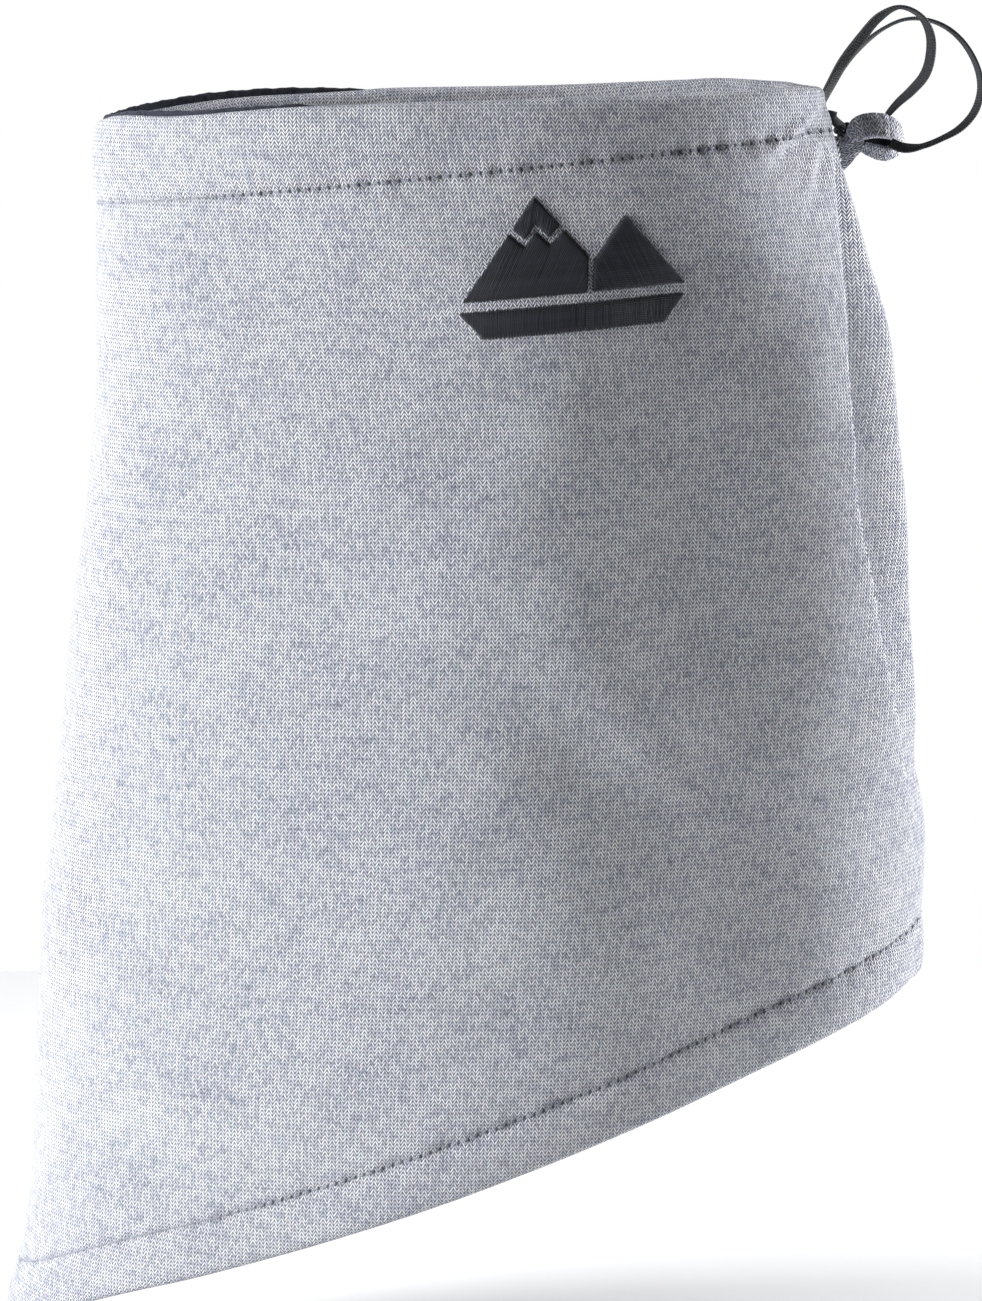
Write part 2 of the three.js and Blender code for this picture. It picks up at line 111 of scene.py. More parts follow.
# The soft fold behind the near side, as (height, degrees round the tube) for its edge,
# and (height, millimetres) for the depth of the hollow behind it.
FOLD_EDGE = [(20, -11), (-4, -14), (-12.5, -20.5), (-16.5, -11.5), (-30, -14.2), (-51, -21.4), (-86, -29.2),
             (-121, -31.3), (-150, -27.7), (-183, -22.8), (-211, -16), (-230, -12), (-390, -12)]
FOLD_DEPTH = [(20, 0), (0, 0.4), (-5, 2.0), (-12, 4.2), (-16.5, 3.0), (-30, 8), (-55, 12.5), (-90, 15.5),
              (-150, 14.5), (-185, 9.5), (-206, 4), (-226, 0), (-390, 0)]


# ---- The tube's surface ----

def bend(t, low, high, slope_in, slope_out):
    """The cubic that goes from low to high as t goes from 0 to 1, with given slopes at its ends."""
    rest = 1 - t
    return ((1 + 2 * t) * rest * rest * low + t * rest * rest * slope_in
            + t * t * (3 - 2 * t) * high - t * t * rest * slope_out)


def value_at(line, height):
    """A smooth value at a height, through (height, value) points that run downwards."""
    heights = np.array([point[0] for point in line], float)
    values = np.array([point[1] for point in line], float)
    last = len(line) - 1
    height = np.asarray(height, float)
    i = np.clip(np.searchsorted(-heights, -height, side="right") - 1, 0, last - 1)
    before = np.maximum(i - 1, 0)
    after = np.minimum(i + 2, last)
    span = heights[i + 1] - heights[i]
    slope_in = (values[i + 1] - values[before]) / (heights[i + 1] - heights[before]) * span
    slope_out = (values[after] - values[i]) / (heights[after] - heights[i]) * span
    t = np.clip((height - heights[i]) / span, 0, 1)
    return bend(t, values[i], values[i + 1], slope_in, slope_out)


def smooth_line(line, x):
    """A smooth value through (x, value) points that run upwards in x."""
    return value_at([(-px, value) for px, value in line], -np.asarray(x, float))


def ease(low, high, x):
    """0 up to low, 1 from high on, and smooth between."""
    t = np.clip((x - low) / (high - low), 0, 1)
    return t * t * (3 - 2 * t)


def casing_seam(angle):
    return CASING_SEAM_HEIGHT + CASING_SEAM_SLOPE * RIM_HALF_LENGTH * np.cos(angle)


def hem(angle):
    x = 144 * np.cos(angle) - 2
    tip = np.maximum(0, (-x - 100) / 45)
    return HEM_HEIGHT + HEM_SLOPE * x - 7 * tip * tip


def hem_seam(angle):
    return hem(angle) + HEM_DEPTH


def wander(angle, height, seed, count, wave):
    """Smooth seeded wandering between about -1 and 1, which closes round the tube."""
    random = np.random.default_rng(seed)
    total = np.zeros(np.broadcast(angle, height).shape)
    for _ in range(count):
        turns = random.integers(1, max(2, int(700 / wave)))
        climb = random.uniform(-1, 1) * 2 * math.pi / wave
        total += np.sin(turns * angle + climb * height + random.uniform(0, 2 * math.pi))
    return total / math.sqrt(count / 2)


def hill(x, middle, reach):
    """A smooth hill of height 1, which is mostly within its reach of its middle."""
    return np.exp(-((x - middle) / reach) ** 2)


def back_relief(turn, height):
    """The hollows behind the two large folds, and the back edge between them."""
    out = 0
    edge = value_at(FOLD_EDGE, height)
    for side, share in ((1, 1.0), (-1, 0.6)):
        depth = value_at(FOLD_DEPTH, height) * share
        along = np.clip((side * turn - edge) / (1.5 - edge), 0, 1)
        out = out - depth * np.sin(math.pi * along ** 0.62) ** 1.15
    # The keeper holds the back out below the rim, and lower down it bulges over its hem.
    back = hill(turn, 0, 15)
    out += back * 3.6 * ease(-2, -12, height) * ease(-112, -60, height)
    out += back * (1.3 * hill(height, -232, 12) - 1.5 * hill(height, -206, 9))
    return out


def side_relief(angle, height, x):
    """How the near and the far side hang between the casing and the hem."""
    hang = ease(-25, -75, height) * ease(-345, -250, height)
    near = ease(0.25, 0.75, -np.sin(angle))
    # The near side turns away softly past the emblem, and comes back towards the fold.
    out = near * hang * (1.4 * hill(x, 5, 42) - 4.6 * hill(x + 0.06 * (height + 170), 74, 28))
    # A slanting fold low on the near side.
    across = (x - 64) * 0.80 + (height + 190) * 0.60
    down = -(x - 64) * 0.60 + (height + 190) * 0.80
    out += near * 2.2 * hill(across, 0, 13) * hill(down, 0, 42)
    out -= near * 1.8 * hill(across, -26, 15) * hill(down, 0, 55)
    # The far side hangs in its own two soft folds.
    far = ease(0.2, 0.7, np.sin(angle))
    return out - far * hang * (4.5 * hill(x, 48, 26) + 2.6 * hill(x, -52, 30))


def seam_relief(angle, height):
    """The casing and the hem puff out between their edges and their pulled-in, puckered seams."""
    seam_gap = height - casing_seam(angle)
    hem_gap = height - hem_seam(angle)
    out = 0.9 * np.clip(1 - ((seam_gap - 10.5) / 10.5) ** 2, 0, 1)
    out += 0.8 * np.clip(1 - ((hem_gap + 9) / 9) ** 2, 0, 1)
    arc = angle * 105
    pucker = 0.65 + 0.35 * np.sin(arc / 1.75 + 2.2 * np.sin(arc / 13) + 1.3 * np.sin(arc / 5.3))
    for gap in (seam_gap, hem_gap):
        out -= pucker * (0.95 * hill(gap, 0, 1.7) + 0.3 * hill(gap, 0, 5.5))
    return out


def corner_relief(turn, height):
    """The back seam's groove, the casing's gathers and the small folds near the cord's way out."""
    out = -0.7 * hill(turn, math.degrees(SEAM_ANGLE), 0.7)
    gather = ease(-32, -16, height) * hill(turn, math.degrees(EXIT_ANGLE), 26)
    out = out + gather * 0.9 * np.sin(turn / 3.1 + height / 9)
    # Two soft folds slant down from the corner of the rim into the casing's seam.
    arc_x, arc_z = 1.1 * turn, height + 15
    for place, tilt, reach, lift in (((-33, 2), 0.5, 13, 1.5), ((-24, -6), 0.85, 9, 1.1)):
        along = (arc_x - place[0]) * math.cos(tilt) + (arc_z - place[1]) * math.sin(tilt)
        off = -(arc_x - place[0]) * math.sin(tilt) + (arc_z - place[1]) * math.cos(tilt)
        out += lift * (hill(off, 0, 2.0) - 0.9 * hill(off, -4, 2.0)) * hill(along, 0, reach)
    return out


def relief(angle, height, x):
    """How far the cloth stands out of the plain flared tube, in millimetres."""
    turn = np.degrees((angle + math.pi) % (2 * math.pi) - math.pi)
    out = back_relief(turn, height) + side_relief(angle, height, x)
    out += seam_relief(angle, height) + corner_relief(turn, height)
    out += 0.55 * wander(angle, height, 3, 14, 90) + 0.22 * wander(angle, height, 8, 22, 34)
    return out


def wall(angle, height, inset=0.0, relieved=1.0):
    """Points of the cloth at an angle (0 at the back), a height and an inset, in millimetres."""
    angle, height, inset = np.broadcast_arrays(np.asarray(angle, float), np.asarray(height, float),
                                               np.asarray(inset, float))
    front = value_at(FRONT_LINE, height)
    back = value_at(BACK_LINE, height)
    half_depth = value_at(HALF_DEPTH_LINE, height)
    half = (back - front) / 2
    x = (front + back) / 2 + half * np.cos(angle)
    y = half_depth * np.sin(angle)
    out_x = np.cos(angle) / half
    out_y = np.sin(angle) / half_depth
    size = np.hypot(out_x, out_y)
    out = relieved * relief(angle, height, x) - inset
    return np.stack([x + out * out_x / size, y + out * out_y / size, height], axis=-1)


def outward_at(angle, height):
    step = 1e-3
    middle = wall(angle, height)
    round_it = wall(angle + step, height) - middle
    up_it = wall(angle, height + 0.1) - middle
    out = np.cross(round_it, up_it)
    return out / np.linalg.norm(out, axis=-1, keepdims=True)


def near_angle(x, height):
    front = value_at(FRONT_LINE, height)
    back = value_at(BACK_LINE, height)
    return -np.arccos(np.clip((2 * x - front - back) / (back - front), -1, 1))


def column_angles():
    """Angles of the shell's columns from the back seam right round to it again."""
    return SEAM_ANGLE + 2 * math.pi * np.arange(COLUMNS + 1) / COLUMNS


def lengths_along(path):
    """Length along a path up to each of its points."""
    steps = np.linalg.norm(np.diff(np.asarray(path, float), axis=0), axis=1)
    return np.concatenate([[0], np.cumsum(steps)])


def points_at(places, stops, points):
    """Points at places along a line whose given points stand at its stops."""
    points = np.asarray(points, float)
    return np.stack([np.interp(places, stops, points[:, k]) for k in range(3)], axis=-1)


def round_lengths(angles, heights):
    """Length along a line round the tube, measured from the middle of the near side."""
    lengths = lengths_along(wall(angles, heights, 0, 0))
    return lengths - np.interp(1.5 * math.pi, angles, lengths)


# ---- Meshes ----

def make_object(name, points, faces):
    mesh = bpy.data.meshes.new(name)
    mesh.from_pydata((np.asarray(points, float) * MM).tolist(), [], faces)
    mesh.validate()
    mesh.shade_smooth()
    obj = bpy.data.objects.new(name, mesh)
    bpy.context.scene.collection.objects.link(obj)
    return obj


def volume_of(points, faces):
    points = np.asarray(points, float)
    total = 0.0
    faces = np.asarray(faces)
    for k in range(1, faces.shape[1] - 1):
        a, b, c = points[faces[:, 0]], points[faces[:, k]], points[faces[:, k + 1]]
        total += np.einsum("ij,ij->i", a, np.cross(b, c)).sum()
    return total


def grid_object(name, points, wrap_rows, maps=None, wrap_columns=True):
    """An object on rows and columns of points. Each map has a value for every corner of the
    grid, so it has one row and one column more than the points where the grid wraps."""
    rows, columns = points.shape[:2]
    row_steps = rows if wrap_rows else rows - 1
    column_steps = columns if wrap_columns else columns - 1
    r, c = np.meshgrid(np.arange(row_steps), np.arange(column_steps), indexing="ij")
    corners = [(r, c), (r, c + 1), (r + 1, c + 1), (r + 1, c)]
    faces = np.stack([(i % rows) * columns + j % columns for i, j in corners], axis=-1).reshape(-1, 4)
    flat = points.reshape(-1, 3)
    if volume_of(flat, faces) < 0:
        faces = faces[:, ::-1]
        corners = corners[::-1]
    obj = make_object(name, flat, faces.tolist())
    for map_name, values in (maps or {}).items():
        layer = obj.data.uv_layers.new(name=map_name)
        loops = np.stack([values[i, j] for i, j in corners], axis=2).reshape(-1, 2)
        layer.data.foreach_set("uv", loops.astype(np.float32).ravel())
    return obj


class Pieces:
    """Gathers closed bits of mesh, with a UV each, into one object."""

    def __init__(self):
        self.points = []
        self.faces = []
        self.uvs = []
        self.count = 0

    def add(self, points, faces, uvs=None):
        points = np.asarray(points, float)
        self.points.append(points)
        self.faces.extend([tuple(int(i) + self.count for i in face) for face in faces])
        self.uvs.append(np.zeros((len(points), 2)) if uvs is None else np.asarray(uvs, float))
        self.count += len(points)

    def build(self, name, map_name="Thread"):
        points = np.concatenate(self.points)
        uvs = np.concatenate(self.uvs)
        obj = make_object(name, points, self.faces)
        layer = obj.data.uv_layers.new(name=map_name)
        index = np.zeros(len(obj.data.loops), int)
        obj.data.loops.foreach_get("vertex_index", index)
        layer.data.foreach_set("uv", uvs[index].astype(np.float32).ravel())
        return obj


def unit(v):
    v = np.asarray(v, float)
    return v / np.maximum(np.linalg.norm(v, axis=-1, keepdims=True), 1e-9)


def tangents(path):
    ahead = np.vstack([path[1:], path[-1:]])
    behind = np.vstack([path[:1], path[:-1]])
    return unit(ahead - behind)


def swept(path, faces_to, outline, sizes=None):
    """A closed sweep of an outline, a list of (across, out) points, along a path. faces_to is
    the direction the outline's out side looks, at each point of the path."""
    path = np.asarray(path, float)
    along = tangents(path)
    out = np.asarray(faces_to, float)
    out = unit(out - along * np.sum(out * along, axis=1, keepdims=True))
    across = np.cross(along, out)
    outline = np.asarray(outline, float)
    sizes = np.ones(len(path)) if sizes is None else np.asarray(sizes, float)
    count = len(outline)
    rings = (path[:, None, :] + sizes[:, None, None] * (across[:, None, :] * outline[None, :, :1]
                                                         + out[:, None, :] * outline[None, :, 1:]))
    points = rings.reshape(-1, 3)
    lengths = lengths_along(path)
    uvs = np.stack([np.repeat(lengths, count), np.tile(outline[:, 0], len(path))], axis=-1) * MM
    faces = []
    for s in range(len(path) - 1):
        for c in range(count):
            n = (c + 1) % count
            faces.append((s * count + c, s * count + n, (s + 1) * count + n, (s + 1) * count + c))
    last = (len(path) - 1) * count
    faces.append(tuple(range(count))[::-1])
    faces.append(tuple(last + c for c in range(count)))
    body = [f for f in faces if len(f) == 4]
    if volume_of(points, body) < 0:
        faces = [face[::-1] for face in faces]
    return points, faces, uvs


def round_outline(width, thickness, corners, squareness=2.0):
    turn = 2 * math.pi * np.arange(corners) / corners
    power = 2 / squareness
    c, s = np.cos(turn), np.sin(turn)
    return np.stack([width / 2 * np.sign(c) * np.abs(c) ** power,
                     thickness / 2 * np.sign(s) * np.abs(s) ** power], axis=-1)


def smooth_path(points, step):
    """A centripetal Catmull-Rom curve through points, sampled evenly."""
    points = np.asarray(points, float)
    padded = np.vstack([2 * points[0] - points[1], points, 2 * points[-1] - points[-2]])
    samples = []
    for i in range(1, len(padded) - 2):
        p0, p1, p2, p3 = padded[i - 1:i + 3]
        t0 = 0.0
        t1 = t0 + np.linalg.norm(p1 - p0) ** 0.5
        t2 = t1 + np.linalg.norm(p2 - p1) ** 0.5
        t3 = t2 + np.linalg.norm(p3 - p2) ** 0.5
        for t in np.linspace(t1, t2, 24, endpoint=i == len(padded) - 3):
            a1 = (t1 - t) / (t1 - t0) * p0 + (t - t0) / (t1 - t0) * p1
            a2 = (t2 - t) / (t2 - t1) * p1 + (t - t1) / (t2 - t1) * p2
            a3 = (t3 - t) / (t3 - t2) * p2 + (t - t2) / (t3 - t2) * p3
            b1 = (t2 - t) / (t2 - t0) * a1 + (t - t0) / (t2 - t0) * a2
            b2 = (t3 - t) / (t3 - t1) * a2 + (t - t1) / (t3 - t1) * a3
            samples.append((t2 - t) / (t2 - t1) * b1 + (t - t1) / (t2 - t1) * b2)
    samples = np.array(samples)
    lengths = lengths_along(samples)
    count = max(3, int(round(lengths[-1] / step)) + 1)
    even = np.linspace(0, lengths[-1], count)
    return points_at(even, lengths, samples)


# ---- Materials ----

class Graph:
    """A node material, with a few short ways to add nodes to it."""

    def __init__(self, name):
        self.material = bpy.data.materials.new(name)
        self.material.use_nodes = True
        self.tree = self.material.node_tree
        self.shader = self.tree.nodes["Principled BSDF"]

    def put(self, socket, value):
        if isinstance(value, bpy.types.NodeSocket):
            self.tree.links.new(value, socket)
        else:
            socket.default_value = value

    def node(self, kind, inputs=None, output=0, **settings):
        made = self.tree.nodes.new(kind)
        for key, value in settings.items():
            setattr(made, key, value)
        for key, value in (inputs or {}).items():
            self.put(made.inputs[key], value)
        return made.outputs[output]

    def math(self, operation, a, b=0.0, c=0.0):
        return self.node("ShaderNodeMath", {0: a, 1: b, 2: c}, operation=operation)

    def map(self, name):
        return self.node("ShaderNodeUVMap", uv_map=name)

    def split(self, vector):
        node = self.tree.nodes.new("ShaderNodeSeparateXYZ")
        self.put(node.inputs[0], vector)
        return node.outputs[0], node.outputs[1], node.outputs[2]

    def join(self, x, y, z=0.0):
        return self.node("ShaderNodeCombineXYZ", {0: x, 1: y, 2: z})

    def noise(self, vector, scale, detail=2.0, roughness=0.5):
        return self.node("ShaderNodeTexNoise", {"Vector": vector, "Scale": scale, "Detail": detail,
                                                "Roughness": roughness})

    def spread(self, value, low, high, to_low=0.0, to_high=1.0):
        return self.node("ShaderNodeMapRange", {"Value": value, "From Min": low, "From Max": high,
                                                "To Min": to_low, "To Max": to_high}, clamp=True)

    def mix(self, share, a, b):
        node = self.tree.nodes.new("ShaderNodeMix")
        node.data_type = "RGBA"
        self.put(node.inputs["Factor"], share)
        self.put(node.inputs[6], a)
        self.put(node.inputs[7], b)
        return node.outputs[2]

    def wave(self, value, wavelength):
        return self.math("SINE", self.math("MULTIPLY", value, 2 * math.pi / wavelength))

    def scaled(self, x, y, x_scale, y_scale):
        return self.join(self.math("MULTIPLY", x, x_scale), self.math("MULTIPLY", y, y_scale))

    def dim(self, color, share):
        return self.node("ShaderNodeVectorMath", {0: color, 3: share}, operation="SCALE")

    def bump(self, height, distance, strength=1.0):
        return self.node("ShaderNodeBump", {"Height": height, "Distance": distance, "Strength": strength})

    def set(self, **values):
        names = {"color": "Base Color", "roughness": "Roughness", "normal": "Normal",
                 "sheen": "Sheen Weight", "sheen_roughness": "Sheen Roughness",
                 "sheen_tint": "Sheen Tint", "specular": "Specular IOR Level"}
        for key, value in values.items():
            self.put(self.shader.inputs[names[key]], value)
        return self.material


def srgb(r, g, b):
    """A shader's colour from 0 to 255 screen values."""
    channels = []
    for value in (r, g, b):
        value /= 255
        channels.append(value / 12.92 if value <= 0.04045 else ((value + 0.055) / 1.055) ** 2.4)
    return (*channels, 1.0)


LIGHT_GREY = srgb(248, 249, 255)
MID_GREY = srgb(187, 190, 208)
DARK_GREY = srgb(104, 108, 124)
# The near-black grey painted into the needle holes as their shade.
HOLE_SHADE_GREY = srgb(38, 41, 50)


def knit_height(g, across, along):
    """The height of plain knit: two slanting legs to each stitch. Both inputs count stitches."""
    offset = g.math("ABSOLUTE", g.math("SUBTRACT", g.math("FRACT", across), 0.5))
    from_leg = g.math("MULTIPLY", g.math("SUBTRACT", offset, 0.25), 4.0)
    leg = g.math("SUBTRACT", 1.0, g.math("MULTIPLY", from_leg, from_leg))
    slanted = g.math("MULTIPLY_ADD", offset, 2.7, along)
    row = g.math("MULTIPLY_ADD", g.math("FRACT", slanted), 2.0, -1.0)
    arch = g.math("SUBTRACT", 1.0, g.math("MULTIPLY", row, row))
    height = g.math("MULTIPLY", g.math("MULTIPLY_ADD", leg, 0.55, 0.45), arch)
    return height, slanted


def needle_hole_shade_and_dips(g, color, surface):
    """Paints shade into the knit's colour at each needle hole and along the crease of its seam, and sinks the
    knit at each needle hole.
    """
    s, d, _ = g.split(g.map("Seam"))
    pitch = STITCH_PITCH * MM
    step = g.math("SUBTRACT", g.math("FRACT", g.math("DIVIDE", s, pitch)), 0.5)
    step = g.math("MULTIPLY", step, pitch)
    reach = g.math("SQRT", g.math("ADD", g.math("MULTIPLY", step, step), g.math("MULTIPLY", d, d)))
    hole = g.spread(reach, 0.00036, 0.00074, 1.0, 0.0)
    # The thread lies flush at the front of the near side, where its holes close up, so their painted shade
    # and their dip are fainter there.
    before = g.spread(s, -0.092, -0.068, 0.15, 1.0)
    after = g.spread(s, -0.19, -0.17, 1.0, 0.15)
    hole = g.math("MULTIPLY", hole, g.math("MAXIMUM", before, after))
    # Painted shade: each needle hole is darkened towards a near-black grey.
    color = g.mix(g.math("MULTIPLY", hole, 0.86), color, HOLE_SHADE_GREY)
    # Painted shade along the seam's crease: the knit darkens to 0.8 of its colour at the seam line.
    color = g.dim(color, g.spread(g.math("ABSOLUTE", d), 0.0, 0.0022, 0.80, 1.0))
    return color, g.math("SUBTRACT", surface, g.math("MULTIPLY", hole, 1.5))


def heather_knit(name, with_seams=True, wale=WALE, course=COURSE, gap=0.0, depth=0.0006):
    """Grey heather jersey: plain knit whose yarn wanders between light and dark fibres, with painted shade in
    the gaps between its legs; gap is how dark that painted shade gets.
    """
    g = Graph(name)
    u, v, _ = g.split(g.map("Knit"))
    across = g.math("DIVIDE", u, wale * MM)
    along = g.math("DIVIDE", v, course * MM)
    height, slanted = knit_height(g, across, along)
    stitch = g.join(g.math("FLOOR", g.math("MULTIPLY", across, 2.0)), g.math("FLOOR", slanted))
    single = g.node("ShaderNodeTexWhiteNoise", {"Vector": stitch}, noise_dimensions="2D")
    streaks = g.noise(g.scaled(across, along, 0.2, 0.45), 1.0, 3.0, 0.6)
    flecks = g.noise(g.scaled(across, along, 1.6, 1.3), 1.0, 2.0, 0.7)
    clouds = g.noise(g.scaled(across, along, 0.07, 0.06), 1.0, 2.0, 0.5)
    fuzz = g.noise(g.join(across, along), 2.2, 3.0, 0.7)
    dark = 0.30
    for pattern, weight in ((streaks, 0.8), (flecks, 0.5), (clouds, 0.55), (single, 0.7), (fuzz, 1.3)):
        dark = g.math("MULTIPLY_ADD", g.math("SUBTRACT", pattern, 0.5), weight, dark)
    color = g.mix(g.spread(dark, 0.0, 0.8), LIGHT_GREY, MID_GREY)
    color = g.mix(g.spread(dark, 0.72, 1.15, 0.0, 0.7), color, DARK_GREY)
    # Painted shade: the colour darkens in the low gaps between the knit's legs, down to gap times its colour
    # where the knit is lowest.
    color = g.dim(color, g.spread(height, 0.15, 0.70, gap, 1.0))
    surface = g.math("MULTIPLY_ADD", fuzz, 0.45, height)
    if with_seams:
        color, surface = needle_hole_shade_and_dips(g, color, surface)
    return g.set(color=color, roughness=0.94, specular=0.18, sheen=0.22, sheen_roughness=0.55,
                 sheen_tint=(0.9, 0.93, 1.0, 1.0), normal=g.bump(surface, depth))


def fleece(name):
    """The dark brushed lining: short matted pile in small tufts."""
    g = Graph(name)
    place = g.node("ShaderNodeTexCoord", output=3)
    tufts = g.noise(place, 520.0, 4.0, 0.68)
    mat = g.noise(place, 90.0, 3.0, 0.6)
    surface = g.math("MULTIPLY_ADD", mat, 0.8, tufts)
    color = g.mix(g.spread(surface, 0.55, 1.15), srgb(24, 25, 31), srgb(58, 61, 70))
    return g.set(color=color, roughness=1.0, specular=0.08, sheen=0.35, sheen_roughness=0.4,
                 sheen_tint=(0.6, 0.63, 0.72, 1.0), normal=g.bump(surface, 0.0009, 0.9))


def thread(name, dark, light, sheen=0.25, roughness=0.6):
    """Twisted sewing or embroidery thread, with the ply running slantwise round it."""
    g = Graph(name)
    u, v, _ = g.split(g.map("Thread"))
    turns = g.math("MULTIPLY", u, THREAD_TURNS * 2 * math.pi)
    ply = g.math("SINE", g.math("ADD", turns, g.math("MULTIPLY", v, 9000.0)))
    wander_noise = g.noise(g.scaled(u, v, 300.0, 900.0), 1.0, 2.0)
    share = g.spread(g.math("MULTIPLY_ADD", ply, 0.25, wander_noise), 0.2, 0.85)
    return g.set(color=g.mix(share, dark, light), roughness=roughness, specular=0.35, sheen=sheen,
                 sheen_roughness=0.35, normal=g.bump(ply, 0.00006, 0.7))


def elastic(name):
    """Flat braided elastic: fine ribs run along it, crossed by small slanting picks."""
    g = Graph(name)
    u, v, _ = g.split(g.map("Thread"))
    ribs = g.wave(v, 0.00042)
    picks = g.math("SINE", g.math("ADD", g.math("MULTIPLY", u, 2 * math.pi / 0.0009),
                                  g.math("MULTIPLY", ribs, 0.9)))
    surface = g.math("MULTIPLY_ADD", picks, 0.45, ribs)
    share = g.spread(surface, -1.2, 1.4)
    color = g.mix(share, srgb(19, 21, 24), srgb(58, 63, 68))
    return g.set(color=color, roughness=0.62, specular=0.4, sheen=0.12, normal=g.bump(surface, 0.00009, 0.8))


def woven_label(name):
    g = Graph(name)
    u, v, _ = g.split(g.map("Thread"))
    surface = g.math("MULTIPLY", g.wave(u, 0.0005), g.wave(v, 0.0004))
    color = g.mix(g.spread(surface, -1.0, 1.0), srgb(196, 197, 194), srgb(228, 228, 224))
    return g.set(color=color, roughness=0.55, specular=0.3, sheen=0.1, normal=g.bump(surface, 0.00005, 0.6))


def felted(name):
    g = Graph(name)
    place = g.node("ShaderNodeTexCoord", output=3)
    surface = g.noise(place, 900.0, 4.0, 0.7)
    color = g.mix(g.spread(surface, 0.35, 0.7), srgb(110, 113, 120), srgb(150, 153, 160))
    return g.set(color=color, roughness=0.95, specular=0.1, normal=g.bump(surface, 0.0003, 0.6))


def floor_finish(name):
    g = Graph(name)
    place = g.node("ShaderNodeTexCoord", output=3)
    surface = g.noise(place, 40.0, 3.0, 0.5)
    color = g.mix(surface, (0.90, 0.90, 0.905, 1.0), (0.93, 0.93, 0.935, 1.0))
    return g.set(color=color, roughness=0.85, specular=0.1)


MATERIALS = {
    "knit": heather_knit("grey_heather_knit"),
    # gap sets the painted shade at the bottom of the gaps between the tape's knit legs.
    "tape": heather_knit("grey_tape_knit", with_seams=False, wale=2.1, course=1.7, gap=0.22, depth=0.0008),
    "fleece": fleece("dark_fleece"),
    "black_thread": thread("black_embroidery_thread", srgb(11, 12, 17), srgb(45, 48, 60), sheen=0.3),
    "grey_thread": thread("grey_sewing_thread", srgb(118, 122, 134), srgb(186, 190, 201), roughness=0.75),
    "elastic": elastic("black_elastic"),
    "label": woven_label("blank_woven_label"),
    "backing": felted("emblem_backing_felt"),
}


def finish_piece(obj, material, body="root", stands_for=()):
    obj.data.materials.clear()
    obj.data.materials.append(MATERIALS[material])
    if body:
        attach(obj, body)
    if stands_for:
        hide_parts(*stands_for)
    return obj


# ---- Camera ----

CAMERA_PLACE = Vector((0.009, -1.300, 0.036))
CAMERA_TARGET = Vector((0.009, 0.0, -0.172))


def make_camera():
    data = bpy.data.cameras.new("camera")
    data.lens = 117.5
    data.sensor_width = 36
    camera = bpy.data.objects.new("camera", data)
    camera.location = CAMERA_PLACE
    camera.rotation_euler = (CAMERA_TARGET - CAMERA_PLACE).to_track_quat("-Z", "Y").to_euler()
    bpy.context.scene.collection.objects.link(camera)
    bpy.context.scene.camera = camera


make_camera()

# ---- Drawcord ----

# Each strand's centreline, and how far it is twisted from face-on towards the near side.
INNER_STRAND = [
    (110.5, 15.2, -3.2), (113, 14.5, 1.5), (116.7, 11, 8.7), (121.8, 7.5, 15.9), (127.1, 5.5, 22.2),
    (133.2, 5, 25.2), (139.3, 6, 22.8), (142.7, 8, 17.7), (143.4, 10.5, 10.8), (142, 13, 4.7),
    (138.1, 15.8, -0.4), (134, 18, -4.4), (130.8, 18.6, -8.6), (129.6, 17.6, -12.8),
]
INNER_TWIST = [58, 42, 26, 20, 40, 80, 72, 50, 36, 30, 42, 58, 72, 84]
OUTER_STRAND = [
    (110.4, 17, -5), (113.6, 17.4, 1), (118.1, 17, 8.5), (123.9, 16, 14.5), (129.6, 15, 18.8),
    (135.7, 14, 21.4), (141.8, 13, 21.4), (148, 12, 19.1), (153.3, 11, 14.5), (157.4, 10, 7.5),
    (158.7, 9, 0.6), (157, 8, -6.1), (152.5, 6.5, -11.3), (146.4, 4.8, -14.6), (140.3, 3.4, -16.8),
    (134.8, 2.6, -17.2), (130.8, 3.2, -15.8),
]
OUTER_TWIST = [58, 50, 50, 70, 80, 83, 82, 78, 74, 70, 65, 58, 62, 74, 72, 30, 25]


def flat_strand(name, points, twists, width, thickness, nodes, body, step=1.0):
    """A strip of flat elastic along a path, turned face-on or edge-on by its twists."""
    path = smooth_path(points, step)
    along = tangents(path)
    given = lengths_along(points)
    share = np.linspace(0, given[-1], len(path))
    twist = np.radians(np.interp(share, given, twists))[:, None]
    near = np.tile([0.0, -1.0, 0.0], (len(path), 1))
    near = unit(near - along * np.sum(near * along, axis=1, keepdims=True))
    side = np.cross(along, near)
    outline = round_outline(width, thickness, 16, 4.0)
    pieces = Pieces()
    pieces.add(*swept(path, np.cos(twist) * near + np.sin(twist) * side, outline))
    obj = pieces.build(name)
    finish_piece(obj, "elastic", body, nodes)
    return obj, path


def make_strands():
    for name, points, twists in (("drawcord_inner", INNER_STRAND, INNER_TWIST),
                                 ("drawcord_outer", OUTER_STRAND, OUTER_TWIST)):
        obj, path = flat_strand(name, points, twists, CORD_WIDTH, CORD_THICKNESS,
                                (name + "_strand",), "loops")


make_strands()


# ---- The shell and the lining ----

